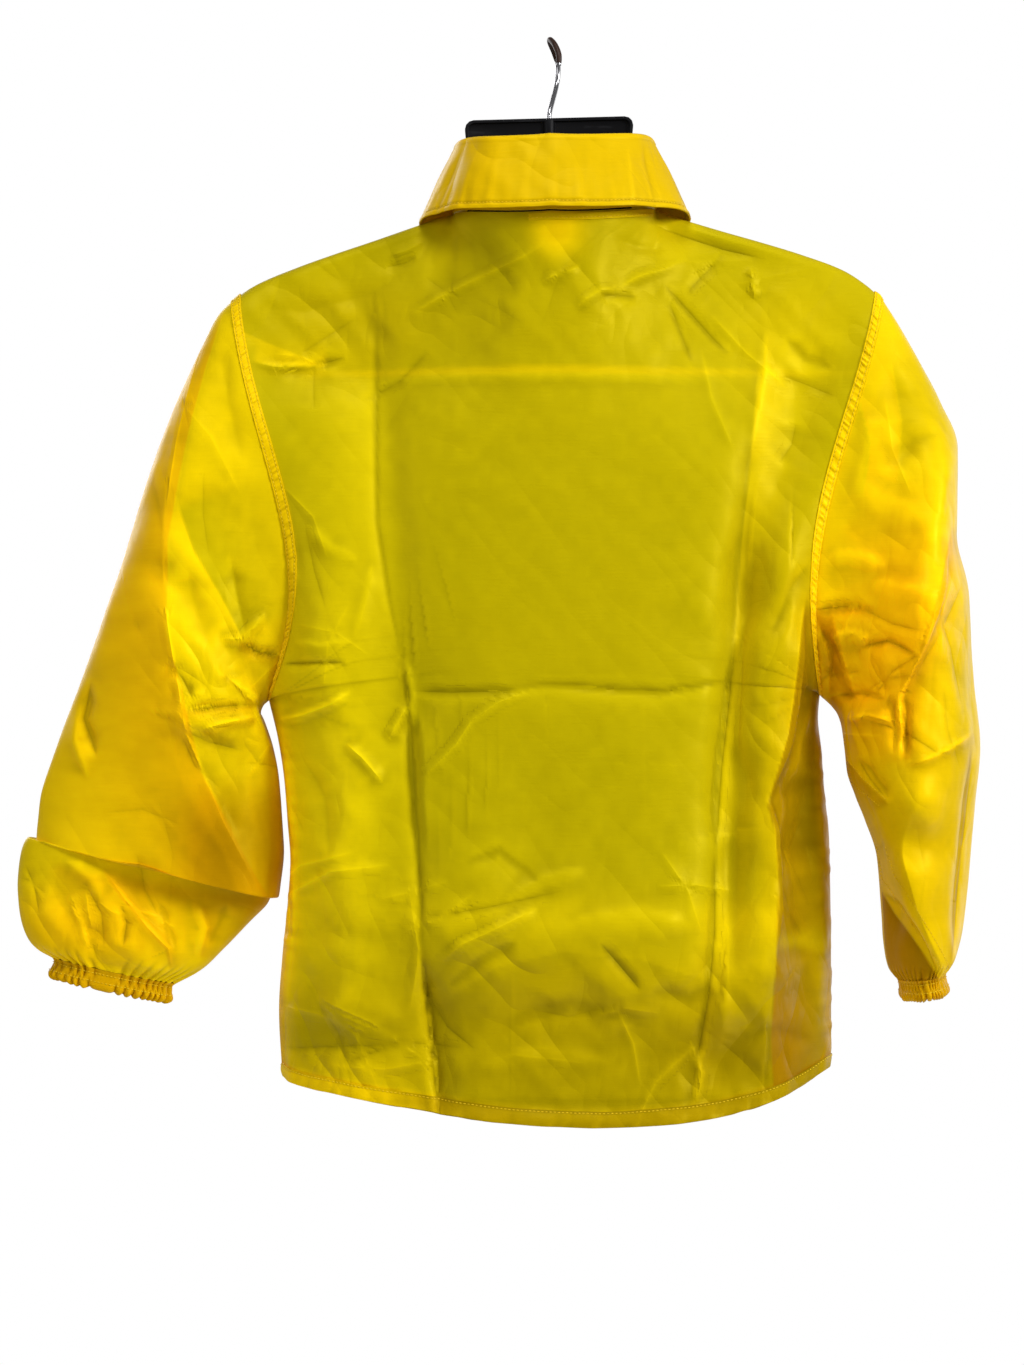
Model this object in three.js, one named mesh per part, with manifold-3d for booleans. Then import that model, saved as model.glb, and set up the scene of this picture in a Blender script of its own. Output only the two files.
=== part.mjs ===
// A light windbreaker jacket hanging from a plastic hanger with a wire hook.
// Millimetres, +Z up. The origin is the underside of the hook's bend, where a rail carries it.
// The jacket's front faces -Y, and the wearer's left is +X.

import * as THREE from "three";
import { mergeVertices } from "three/addons/utils/BufferGeometryUtils.js";
import Module from "manifold-3d";

// Cloth
const CLOTH = 1.4; // wall of a single layer, seam bulk included
const SEAM_GAP = 0.3; // between two pieces that are sewn together
const FACES = { back: 1, front: -1 }; // sign of Y

// Garment
const MID_X = -4; // the jacket hangs a little to one side of the hook
const NECK_HALF_WIDTH = 76;
const NECK_DEPTH = { back: 52, front: 66 };
const NECK_DROP = { back: 10, front: 60 }; // neck edge below the line between the shoulders
const SHOULDER_TILT = -0.026; // the hanger hangs 1.5 degrees off level
const RIDGE_ROUND = 8; // radius of the cloth over the hanger's arm
const NECK_BLEND = 45; // from the neck seam down to where its shape has softened
const SHOULDER_BLEND = 190; // from the ridge down to where the chest sections rule
const PIT_DOWN = 0.51; // share of the side's length that is armhole
const ARMHOLE_SOFT = 2.4;
const FRONT_OVERLAP = 17; // each front runs this far past the middle

// Height of the shoulder line by distance from the hook, before the tilt
const SHOULDER_LINE = [
  { out: 0, z: -123 },
  { out: 78, z: -128 },
  { out: 100, z: -135 },
  { out: 130, z: -144.7 },
  { out: 160, z: -154 },
  { out: 190, z: -164 },
  { out: 220, z: -176 },
  { out: 238, z: -188 },
  { out: 250, z: -199.5 },
];

// Armhole and side of each half: tip of the shoulder, bottom of the armhole, end of the side seam
const SIDES = {
  left: { sign: 1, tipX: 238, pitX: 210, pitZ: -493, hemZ: -774, sway: 26, swayPower: 1.7 },
  right: { sign: -1, tipX: -250, pitX: -203, pitZ: -489, hemZ: -768, sway: 20, swayPower: 1.5 },
};
const ARMHOLE_DEPTH = { back: 38, front: 36 };

// Side seams below the armhole
const SIDE_SEAMS = {
  left: [
    { z: -493, x: 210, y: 0 },
    { z: -523, x: 203, y: 0 },
    { z: -553, x: 198.5, y: 0 },
    { z: -585, x: 196, y: 0 },
    { z: -613, x: 194, y: 0 },
    { z: -645, x: 196, y: 0 },
    { z: -685, x: 200, y: 0 },
    { z: -725, x: 202.5, y: 0 },
    { z: -774, x: 200, y: 0 },
  ],
  right: [
    { z: -489, x: -203, y: 0 },
    { z: -505, x: -202, y: -3 },
    { z: -530, x: -205, y: -8 },
    { z: -560, x: -207.5, y: -12 },
    { z: -600, x: -211.5, y: -14 },
    { z: -700, x: -213, y: -15 },
    { z: -750, x: -213, y: -14 },
    { z: -768, x: -211, y: -12 },
  ],
};

// Hem by place across the jacket
const HEM_LINE = [
  { x: -212, z: -765 },
  { x: -196, z: -777 },
  { x: -172, z: -785 },
  { x: -148, z: -792 },
  { x: -113, z: -799 },
  { x: -80, z: -802.5 },
  { x: -40, z: -804 },
  { x: 5, z: -802.5 },
  { x: 42, z: -799.5 },
  { x: 82, z: -794 },
  { x: 112, z: -789.5 },
  { x: 161, z: -781.5 },
  { x: 190, z: -777 },
  { x: 204, z: -770 },
];
const FRONT_HEM_RISE = 12; // the front is this much shorter in the middle

// Horizontal sections of the body by height. back and front are depths at the middle, square and roll shape the turn to the side seam.
const SECTIONS = [
  { z: -130, back: 52, front: 64, square: 2, roll: 1 },
  { z: -230, back: 54, front: 60, square: 2, roll: 1 },
  { z: -330, back: 60, front: 60, square: 2.3, roll: 0.86 },
  { z: -410, back: 66, front: 63, square: 2.6, roll: 0.66 },
  { z: -485, back: 70, front: 66, square: 2.8, roll: 0.54 },
  { z: -630, back: 77, front: 72, square: 3, roll: 0.5 },
  { z: -810, back: 80, front: 76, square: 3, roll: 0.5 },
];

// Large folds of the body. Each runs from (x0, z0) to (x1, z1), seen flat from the front or
// back. lift is the height of its crest, below 0 for a valley. left and right are its widths
// towards +X and -X.
const BODY_FOLDS = {
  back: [
    { x0: 128, z0: -225, x1: 96, z1: -500, lift: -7, left: 26, right: 16 },
    { x0: 99, z0: -480, x1: 84, z1: -830, lift: -9, left: 30, right: 13 },
    { x0: 60, z0: -600, x1: 66, z1: -830, lift: 6, left: 16, right: 30 },
    { x0: 168, z0: -420, x1: 140, z1: -830, lift: 6, left: 26, right: 26 },
    { x0: -190, z0: -270, x1: -146, z1: -420, lift: -10, left: 20, right: 20 },
    { x0: -146, z0: -400, x1: -128, z1: -680, lift: -13, left: 15, right: 12 },
    { x0: -176, z0: -400, x1: -160, z1: -720, lift: 12, left: 20, right: 15 },
    { x0: -172, z0: -700, x1: -165, z1: -830, lift: 6, left: 26, right: 20 },
    { x0: -196, z0: -480, x1: -190, z1: -800, lift: -12, left: 17, right: 20 },
    { x0: 60, z0: -650, x1: -120, z1: -690, lift: 7, left: 30, right: 34 },
    { x0: 70, z0: -720, x1: -130, z1: -760, lift: -6, left: 26, right: 26 },
    { x0: 150, z0: -250, x1: 205, z1: -250, lift: -4, left: 16, right: 18 },
    { x0: 60, z0: -165, x1: -90, z1: -165, lift: -4, left: 24, right: 24 },
  ],
  front: [
    { x0: 120, z0: -230, x1: 96, z1: -830, lift: -9, left: 24, right: 20 },
    { x0: 168, z0: -430, x1: 150, z1: -830, lift: 8, left: 24, right: 24 },
    { x0: 60, z0: -420, x1: 52, z1: -830, lift: 6, left: 22, right: 26 },
    { x0: -130, z0: -240, x1: -104, z1: -830, lift: -9, left: 22, right: 24 },
    { x0: -176, z0: -430, x1: -158, z1: -830, lift: 9, left: 24, right: 24 },
    { x0: -66, z0: -500, x1: -56, z1: -830, lift: 6, left: 24, right: 22 },
    { x0: 190, z0: -300, x1: 90, z1: -390, lift: -6, left: 26, right: 26 },
    { x0: -195, z0: -300, x1: -95, z1: -400, lift: -6, left: 26, right: 26 },
  ],
};

// Rings of each sleeve, from the armhole to the cuff. A ring runs from its outer to its inner
// edge, and reaches back and front of midY. peak is where along it the back stands highest, and
// soft is 1 for a sharp crest there and 2 for a round one.
const SLEEVES = {
  left: [
    { ring: 0, outerX: 238, outerZ: -194.2, innerX: 210, innerZ: -493, midY: 0, back: 38, front: 36, peak: 0.5, soft: 2.4 },
    { ring: 0.4, outerX: 247.5, outerZ: -204.5, innerX: 211.6, innerZ: -494.6, midY: 0, back: 40, front: 37.6, peak: 0.5, soft: 2.4 },
    { ring: 1, outerX: 259, outerZ: -226, innerX: 214, innerZ: -497, midY: 0, back: 43, front: 40, peak: 0.5, soft: 2.3 },
    { ring: 2, outerX: 281, outerZ: -275, innerX: 216, innerZ: -503, midY: 0, back: 47, front: 44, peak: 0.48, soft: 2.2 },
    { ring: 3, outerX: 304, outerZ: -339, innerX: 212, innerZ: -513, midY: 0, back: 49, front: 46, peak: 0.45, soft: 2.1 },
    { ring: 4, outerX: 327, outerZ: -412, innerX: 206.5, innerZ: -529, midY: 0, back: 48, front: 46, peak: 0.42, soft: 1.9 },
    { ring: 5, outerX: 350, outerZ: -476, innerX: 202.5, innerZ: -550, midY: -2, back: 46, front: 45, peak: 0.48, soft: 1.7 },
    { ring: 6, outerX: 370, outerZ: -528, innerX: 200.5, innerZ: -576, midY: -4, back: 44, front: 44, peak: 0.6, soft: 1.6 },
    { ring: 7, outerX: 382.5, outerZ: -566, innerX: 199.5, innerZ: -604, midY: -6, back: 43, front: 44, peak: 0.74, soft: 1.6 },
    { ring: 8, outerX: 385, outerZ: -588, innerX: 202, innerZ: -630, midY: -8, back: 44, front: 44, peak: 0.82, soft: 1.7 },
    { ring: 8.5, outerX: 386, outerZ: -598, innerX: 204, innerZ: -641, midY: -8, back: 43, front: 42, peak: 0.84, soft: 1.8 },
    { ring: 9, outerX: 392, outerZ: -596, innerX: 208, innerZ: -639, midY: -12, back: 31, front: 37, peak: 0.6, soft: 2.2 },
    { ring: 9.6, outerX: 398, outerZ: -608, innerX: 213, innerZ: -647, midY: -14, back: 30, front: 36, peak: 0.5, soft: 2.2 },
    { ring: 10.3, outerX: 400.5, outerZ: -632, innerX: 226, innerZ: -660, midY: -15, back: 30, front: 34, peak: 0.5, soft: 2.2 },
    { ring: 11, outerX: 398, outerZ: -656, innerX: 243, innerZ: -678, midY: -14, back: 29, front: 31, peak: 0.5, soft: 2.2 },
    { ring: 12, outerX: 389.5, outerZ: -676, innerX: 262, innerZ: -696, midY: -12, back: 24, front: 26, peak: 0.5, soft: 2.2 },
    { ring: 13, outerX: 374, outerZ: -686, innerX: 281, innerZ: -706, midY: -11, back: 19, front: 20, peak: 0.5, soft: 2.2 },
  ],
  right: [
    { ring: 0, outerX: -250, outerZ: -193, innerX: -203, innerZ: -489, midY: 0, back: 38, front: 36, peak: 0.5, soft: 2.4 },
    { ring: 1, outerX: -270, outerZ: -226, innerX: -208, innerZ: -493, midY: 0, back: 47, front: 42, peak: 0.5, soft: 2.3 },
    { ring: 2, outerX: -292, outerZ: -268, innerX: -213, innerZ: -498, midY: 2, back: 57, front: 50, peak: 0.5, soft: 2.2 },
    { ring: 3, outerX: -305, outerZ: -306, innerX: -217, innerZ: -504, midY: 4, back: 64, front: 56, peak: 0.5, soft: 2.1 },
    { ring: 4, outerX: -304, outerZ: -366, innerX: -220, innerZ: -514, midY: 5, back: 70, front: 62, peak: 0.5, soft: 2 },
    { ring: 5, outerX: -313.5, outerZ: -412, innerX: -221.5, innerZ: -529, midY: 6, back: 73, front: 66, peak: 0.5, soft: 1.9 },
    { ring: 6, outerX: -317, outerZ: -480, innerX: -223, innerZ: -546, midY: 6, back: 75, front: 70, peak: 0.5, soft: 1.9 },
    { ring: 7, outerX: -322, outerZ: -530, innerX: -229, innerZ: -564, midY: 6, back: 75, front: 72, peak: 0.56, soft: 1.8 },
    { ring: 8, outerX: -319, outerZ: -568, innerX: -238, innerZ: -585, midY: 6, back: 74, front: 72, peak: 0.7, soft: 1.7 },
    { ring: 9, outerX: -316, outerZ: -602, innerX: -246.5, innerZ: -610, midY: 6, back: 71, front: 70, peak: 0.84, soft: 1.6 },
    { ring: 10, outerX: -313, outerZ: -638, innerX: -250, innerZ: -644, midY: 5, back: 65, front: 66, peak: 0.74, soft: 1.5 },
    { ring: 11, outerX: -309, outerZ: -670, innerX: -252, innerZ: -677, midY: 3, back: 57, front: 58, peak: 0.5, soft: 1.5 },
    { ring: 12, outerX: -304, outerZ: -687, innerX: -255.5, innerZ: -694, midY: 1, back: 49, front: 50, peak: 0.34, soft: 1.5 },
    { ring: 13, outerX: -297, outerZ: -696, innerX: -261.5, innerZ: -702, midY: 0, back: 43, front: 44, peak: 0.4, soft: 1.8 },
  ],
};

// Large folds of the sleeves, as for the body
const SLEEVE_FOLDS = {
  left: {
    back: [
      { x0: 230, z0: -470, x1: 282, z1: -400, lift: -8, left: 14, right: 14 },
      { x0: 214, z0: -520, x1: 262, z1: -508, lift: 7, left: 10, right: 12 },
      { x0: 300, z0: -330, x1: 262, z1: -460, lift: 5, left: 22, right: 20 },
      { x0: 330, z0: -640, x1: 296, z1: -706, lift: 4, left: 14, right: 14 },
    ],
    front: [
      { x0: 224, z0: -480, x1: 290, z1: -400, lift: -8, left: 16, right: 16 },
      { x0: 216, z0: -530, x1: 300, z1: -540, lift: -6, left: 16, right: 16 },
      { x0: 300, z0: -560, x1: 260, z1: -640, lift: 6, left: 20, right: 20 },
    ],
  },
  right: {
    back: [
      { x0: -214, z0: -446, x1: -270, z1: -420, lift: 6, left: 20, right: 20 },
      { x0: -216, z0: -492, x1: -256, z1: -484, lift: -8, left: 20, right: 20 },
      { x0: -286, z0: -300, x1: -276, z1: -440, lift: 7, left: 18, right: 18 },
      { x0: -232, z0: -560, x1: -268, z1: -566, lift: 7, left: 16, right: 16 },
      { x0: -234, z0: -592, x1: -266, z1: -596, lift: -12, left: 18, right: 18 },
    ],
    front: [
      { x0: -216, z0: -470, x1: -285, z1: -420, lift: -9, left: 16, right: 16 },
      { x0: -230, z0: -560, x1: -290, z1: -580, lift: -8, left: 14, right: 14 },
    ],
  },
};

// Cuffs: gathered bands below the last ring of each sleeve
const CUFF = { height: 15, waves: 20, pointsPerWave: 3, waveHeight: 1.7, wallIn: 1.6 };

// Collar by degrees round the neck from the middle of the back. up and out place the fold above
// the neck seam, drop and spread place the leaf's edge below the fold, and back slides it round.
const COLLAR = [
  { round: 0, up: 57, out: -4, drop: 50.5, spread: 15, back: 0 },
  { round: 45, up: 56, out: -6, drop: 50.5, spread: 18, back: 0 },
  { round: 80, up: 54, out: -8.5, drop: 52.5, spread: 25.5, back: 0 },
  { round: 105, up: 50, out: -8, drop: 56, spread: 24.5, back: 2 },
  { round: 135, up: 41, out: -5, drop: 64, spread: 20, back: 8 },
  { round: 160, up: 31, out: -2, drop: 66, spread: 15, back: 20 },
  { round: 172, up: 27, out: -1, drop: 66, spread: 14, back: 34 },
];
const COLLAR_ROLL = 4.5; // outer radius of the fold

// Front closure
const PLACKET_HALF_WIDTH = 16;
const SNAPS = { count: 6, top: -216, pitch: 106, radius: 6.5, height: 2.4 };

// Label inside the back of the neck
const LABEL = { midX: -6, width: 37, top: -137, height: 25, thick: 1, behind: 0.75 };

// Hanger
const HANGER = {
  width: 432,
  barHalfWidth: 63,
  barTop: -57,
  corner: 6.5,
  neckHalfWidth: 54, // between the bar and the arms, inside the collar
  armTop: 5.2, // the arm's top edge under the cloth's ridge
  armHeight: 15,
  deep: 8,
  web: 3,
  rim: 2.4,
};
const HOOK = { wire: 3.8, bendRadius: 20 };

// Sideways bend of the hook's wire by height
const HOOK_LEAN = [
  { z: -70, x: 0 },
  { z: -57, x: 0 },
  { z: -41, x: -3 },
  { z: -30, x: -5.5 },
  { z: -19, x: -7 },
  { z: -12, x: -7 },
  { z: -4, x: -4 },
  { z: 2, x: -0.5 },
];

// Grid sizes
const ROWS_ARMHOLE = 12;
const ROWS_SIDE = 12;
const COLUMNS = [0, 20, 38, 54, 67, NECK_HALF_WIDTH, 90, 108, 126, 144, 162, 180, 198, 214, 227, 236.5];
const SLEEVE_RINGS = 22;
const COLLAR_COLUMNS = 36;

const { lerp, clamp, smoothstep } = THREE.MathUtils;

// A column of a table at a place between its rows, by monotone cubic interpolation
function read(rows, key, name, at) {
  const up = rows[1][key] > rows[0][key] ? 1 : -1;
  const place = rows.map((row) => row[key] * up);
  const value = rows.map((row) => row[name]);
  const x = clamp(at * up, place[0], place[place.length - 1]);
  let i = 0;
  while (i < place.length - 2 && x > place[i + 1]) i++;
  const slope = (k) => (value[k + 1] - value[k]) / (place[k + 1] - place[k]);
  const tangent = (k) => {
    if (k === 0) return slope(0);
    if (k === place.length - 1) return slope(k - 1);
    const [a, b] = [slope(k - 1), slope(k)];
    return a * b <= 0 ? 0 : (2 * a * b) / (a + b);
  };
  const h = place[i + 1] - place[i];
  const s = (x - place[i]) / h;
  const [s2, s3] = [s * s, s * s * s];
  return (
    (2 * s3 - 3 * s2 + 1) * value[i] +
    (s3 - 2 * s2 + s) * h * tangent(i) +
    (-2 * s3 + 3 * s2) * value[i + 1] +
    (s3 - s2) * h * tangent(i + 1)
  );
}

// Height of a ring's arch at a share of its width: 0 at its edges, 1 at its peak
function arch(share, peak, soft) {
  const rise = share < peak ? share / peak : (1 - share) / (1 - peak);
  return (1 - (1 - clamp(rise, 0, 1)) ** soft) ** (1 / soft);
}

// Sum of a table's folds at a place on the flat view
function foldLift(folds, x, z) {
  let lift = 0;
  for (const fold of folds) {
    const [dx, dz] = [fold.x1 - fold.x0, fold.z1 - fold.z0];
    const long = Math.hypot(dx, dz);
    const along = ((x - fold.x0) * dx + (z - fold.z0) * dz) / long;
    const off = ((x - fold.x0) * dz - (z - fold.z0) * dx) / long;
    const towardsLeft = off * Math.sign(dz || -1) > 0;
    const wide = towardsLeft ? fold.left : fold.right;
    const past = Math.max(0, -along, along - long);
    lift += fold.lift * Math.exp(-((off / wide) ** 2) - (past / (1.5 * wide)) ** 2);
  }
  return lift;
}

function shoulderZ(x) {
  return read(SHOULDER_LINE, "out", "z", Math.abs(x)) + SHOULDER_TILT * x;
}

// A point of an armhole, by share of the way from the shoulder's tip to the pit
function armhole(side, face, share) {
  const s = SIDES[side];
  const towardsMiddle = s.sway * Math.sin(Math.PI * share ** s.swayPower);
  return new THREE.Vector3(
    lerp(s.tipX, s.pitX, share) - s.sign * towardsMiddle,
    FACES[face] * ARMHOLE_DEPTH[face] * arch(share, 0.5, ARMHOLE_SOFT),
    lerp(shoulderZ(s.tipX), s.pitZ, share),
  );
}

function bodyEdge(side, face, down) {
  if (down <= PIT_DOWN) return armhole(side, face, down / PIT_DOWN);
  const s = SIDES[side];
  const z = lerp(s.pitZ, s.hemZ, (down - PIT_DOWN) / (1 - PIT_DOWN));
  const seam = SIDE_SEAMS[side];
  return new THREE.Vector3(read(seam, "z", "x", z), read(seam, "z", "y", z), z);
}

// Place across between a right and a left edge, with MID_X in the middle
function acrossX(rightX, leftX, across) {
  const half = (leftX - rightX) / 2;
  const lean = (leftX + rightX) / 2 - MID_X;
  return MID_X + half * across + lean * across * across;
}

// Height of each panel's top: the neck edge in the middle, the shoulder seam outside it
function topZ(face, x) {
  const off = Math.abs(x - MID_X) / NECK_HALF_WIDTH;
  return shoulderZ(x) - NECK_DROP[face] * Math.max(0, 1 - off * off);
}

// Depth of the cloth round the neck: an ellipse at the seam, a soft swell further down
function neckY(face, x, below) {
  const off = Math.abs(x - MID_X) / NECK_HALF_WIDTH;
  const edge = NECK_DEPTH[face] * Math.sqrt(Math.max(0, 1 - off * off));
  const swell = NECK_DEPTH[face] / (1 + (off * 1.25) ** 4);
  return lerp(edge, swell, smoothstep(below, 0, NECK_BLEND));
}

// The body's outer surface: across is -1 at the wearer's right edge and 1 at the left one
function body(face, across, down) {
  const sign = FACES[face];
  const [left, right] = ["left", "right"].map((side) => bodyEdge(side, face, down));
  const own = across > 0 ? left : right;
  const ownSide = across > 0 ? SIDES.left : SIDES.right;
  const x = acrossX(right.x, left.x, across);
  const topX = acrossX(SIDES.right.tipX, SIDES.left.tipX, across);
  const hemX = acrossX(SIDE_SEAMS.right.at(-1).x, SIDE_SEAMS.left.at(-1).x, across);
  const rise = face === "front" ? FRONT_HEM_RISE * (1 - across * across) : 0;
  const hem = lerp(read(HEM_LINE, "x", "z", hemX) + rise, ownSide.hemZ, across ** 16);
  const straight = lerp(shoulderZ(ownSide.tipX), ownSide.hemZ, down);
  const z = lerp(topZ(face, topX), hem, down) + (own.z - straight) * across ** 4;

  const row = {};
  for (const name of ["back", "front", "square", "roll"]) {
    row[name] = read(SECTIONS, "z", name, z);
  }
  const edgeY = lerp(right.y, left.y, (across + 1) / 2);
  const belly = Math.max(0, 1 - Math.abs(across) ** row.square) ** row.roll;
  const chest = lerp(edgeY, sign * row[face], belly);
  const below = Math.max(0, shoulderZ(topX) - z);
  const over = RIDGE_ROUND - Math.min(below, RIDGE_ROUND);
  const wrap = Math.sqrt(Math.max(0, RIDGE_ROUND ** 2 - over ** 2));
  const neck = neckY(face, topX, below);
  const ridge = sign * (neck + (1 - neck / NECK_DEPTH[face]) * wrap);
  const shoulder = lerp(ridge, own.y, across ** 8);
  const y = lerp(shoulder, chest, smoothstep(below, 0, SHOULDER_BLEND));
  const free = (1 - across ** 10) * smoothstep(topZ(face, topX) - z, 12, 70);
  return new THREE.Vector3(x, y + sign * free * foldLift(BODY_FOLDS[face], x, z), z);
}

// A point of a sleeve's outer surface: turn runs 0 to 1 on the back, outer to inner edge, and
// 1 to 2 on the front, inner to outer edge
function sleeve(side, ring, turn) {
  const rows = SLEEVES[side];
  const row = {};
  for (const name of Object.keys(rows[0])) row[name] = read(rows, "ring", name, ring);
  const face = turn <= 1 ? "back" : "front";
  const share = (1 - Math.cos(Math.PI * (turn <= 1 ? turn : 2 - turn))) / 2;
  const s = SIDES[side];
  const pull = s.sway * Math.max(0, 1 - ring / 1.6) ** 1.5;
  const x = lerp(row.outerX, row.innerX, share) - s.sign * pull * Math.sin(Math.PI * share ** s.swayPower);
  const z = lerp(row.outerZ, row.innerZ, share);
  const frontSoft = lerp(ARMHOLE_SOFT, 2.2, smoothstep(ring, 0, 1));
  const round = face === "back" ? arch(share, row.peak, row.soft) : arch(share, 0.5, frontSoft);
  const free = smoothstep(ring, 0, 1.5) * smoothstep(13 - ring, 0, 1) * round;
  const lift = free * foldLift(SLEEVE_FOLDS[side][face], x, z);
  return new THREE.Vector3(x, row.midY + FACES[face] * (row[face] * round + lift), z);
}

// Unit normals of a grid of points, from its neighbours
function gridNormals(points, closed) {
  const [rows, columns] = [points.length, points[0].length];
  return points.map((line, i) =>
    line.map((_, j) => {
      const before = closed ? (j + columns - 1) % columns : Math.max(0, j - 1);
      const after = closed ? (j + 1) % columns : Math.min(columns - 1, j + 1);
      const across = line[after].clone().sub(line[before]);
      const down = points[Math.min(rows - 1, i + 1)][j].clone().sub(points[Math.max(0, i - 1)][j]);
      return across.cross(down).normalize();
    }),
  );
}

function solidGeometry(vertices, triangles) {
  const geometry = new THREE.BufferGeometry();
  geometry.setAttribute("position", new THREE.Float32BufferAttribute(vertices.flatMap((v) => v.toArray()), 3));
  geometry.setIndex(triangles);
  return geometry;
}

// A closed wall between a grid of outer points and the same grid moved in by thick along the
// normals. A closed grid joins its last column to its first. flip turns the faces round.
function wall(points, normals, thick, { closed = false, flip = false } = {}) {
  const [rows, columns] = [points.length, points[0].length];
  const outer = points.flat();
  const inner = outer.map((p, k) => p.clone().addScaledVector(normals.flat()[k], -thick));
  const count = outer.length;
  const triangles = [];
  const quad = (a, b, c, d) => triangles.push(...(flip ? [a, c, b, a, d, c] : [a, b, c, a, c, d]));
  const at = (i, j) => i * columns + (j % columns);
  const lastColumn = closed ? columns : columns - 1;
  for (let i = 0; i < rows - 1; i++) {
    for (let j = 0; j < lastColumn; j++) {
      const [a, b, c, d] = [at(i, j), at(i, j + 1), at(i + 1, j + 1), at(i + 1, j)];
      quad(a, d, c, b);
      quad(a + count, b + count, c + count, d + count);
    }
    if (!closed) {
      quad(at(i, 0), at(i, 0) + count, at(i + 1, 0) + count, at(i + 1, 0));
      const [p, q] = [at(i, columns - 1), at(i + 1, columns - 1)];
      quad(p, q, q + count, p + count);
    }
  }
  for (let j = 0; j < lastColumn; j++) {
    quad(at(0, j), at(0, j + 1), at(0, j + 1) + count, at(0, j) + count);
    const [p, q] = [at(rows - 1, j), at(rows - 1, j + 1)];
    quad(p, p + count, q + count, q);
  }
  return solidGeometry([...outer, ...inner], triangles);
}

// Moves the edge points of a grid inwards by half the seam gap
function pullBack(points, { top = false, bottom = false, first = false, last = false }) {
  const [rows, columns] = [points.length, points[0].length];
  const step = (p, q) => q.clone().sub(p).normalize().multiplyScalar(SEAM_GAP / 2);
  const moves = [];
  for (let i = 0; i < rows; i++) {
    if (first) moves.push([points[i][0], step(points[i][0], points[i][1])]);
    if (last) moves.push([points[i][columns - 1], step(points[i][columns - 1], points[i][columns - 2])]);
  }
  for (let j = 0; j < columns; j++) {
    if (top) moves.push([points[0][j], step(points[0][j], points[1][j])]);
    if (bottom) moves.push([points[rows - 1][j], step(points[rows - 1][j], points[rows - 2][j])]);
  }
  for (const [point, move] of moves) point.add(move);
}

// Rows down the body: the armhole's rows match the points round the sleeve's first ring
const DOWN = [];
for (let i = 0; i <= ROWS_ARMHOLE; i++) {
  DOWN.push((PIT_DOWN * (1 - Math.cos((Math.PI * i) / ROWS_ARMHOLE))) / 2);
}
for (let i = 1; i <= ROWS_SIDE; i++) {
  DOWN.push(lerp(PIT_DOWN, 1, i / ROWS_SIDE));
}

// Places across, from the middle to a side
const HALF_SPAN = (SIDES.left.tipX - SIDES.right.tipX) / 2;
const NECK_ACROSS = NECK_HALF_WIDTH / HALF_SPAN;
const ACROSS = COLUMNS.map((out) => out / HALF_SPAN);
ACROSS.push(1);

// Outward direction of a seam's wall, the same for both of the pieces that meet there
function seamNormal(side, face, down) {
  if (down > PIT_DOWN) return new THREE.Vector3(SIDES[side].sign, 0, 0);
  const share = down / PIT_DOWN;
  const step = 0.01;
  const before = armhole(side, face, Math.max(0, share - step));
  const after = armhole(side, face, Math.min(1, share + step));
  const along = after.sub(before);
  if (share < step) along.set(0, FACES[face], 0);
  if (share > 1 - step) along.set(0, -FACES[face], 0);
  return new THREE.Vector3(0, -along.z * FACES[face], along.y * FACES[face]).normalize();
}

// A panel of the body over some places across, with the seams' shared normals at its edges
function panel(face, places, { leftSeam = false, rightSeam = false, sink = () => 0 }) {
  const points = DOWN.map((down) => places.map((across) => body(face, across, down)));
  const normals = gridNormals(points, false).map((line) => line.map((n) => n.multiplyScalar(FACES[face])));
  const up = new THREE.Vector3(0, 0, 1);
  DOWN.forEach((down, i) => {
    if (leftSeam) normals[i][places.length - 1] = seamNormal("left", face, down);
    if (rightSeam) normals[i][0] = seamNormal("right", face, down);
  });
  places.forEach((across, j) => {
    if (Math.abs(across) > NECK_ACROSS - 0.001) normals[0][j] = up.clone();
    points.forEach((line, i) => line[j].addScaledVector(normals[i][j], -sink(across)));
  });
  pullBack(points, { top: true, first: rightSeam, last: leftSeam });
  return wall(points, normals, CLOTH, { flip: face === "back" });
}

function backPanel() {
  const places = [...ACROSS.slice(1).reverse().map((a) => -a), ...ACROSS];
  return panel("back", places, { leftSeam: true, rightSeam: true });
}

// The left front lies over the right one
const OVERLAP_ACROSS = FRONT_OVERLAP / HALF_SPAN;

function frontPanel(side) {
  const outside = ACROSS.filter((a) => a > OVERLAP_ACROSS * 1.2);
  const middle = [-OVERLAP_ACROSS, 0, OVERLAP_ACROSS];
  if (side === "left") return panel("front", [...middle, ...outside], { leftSeam: true });
  const under = CLOTH + SEAM_GAP + 0.2;
  const places = [...outside.reverse().map((a) => -a), ...middle];
  const sink = (across) => under * smoothstep(across, -0.19, -0.09);
  return panel("front", places, { rightSeam: true, sink });
}

function sleevePoints(side) {
  const last = SLEEVES[side].at(-1).ring;
  const turns = Array.from({ length: 2 * ROWS_ARMHOLE }, (_, j) => j / ROWS_ARMHOLE);
  const rings = [];
  for (let i = 0; i <= SLEEVE_RINGS; i++) {
    const ring = (last * i) / SLEEVE_RINGS;
    rings.push(turns.map((turn) => sleeve(side, ring, turn)));
  }
  return rings;
}

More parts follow.
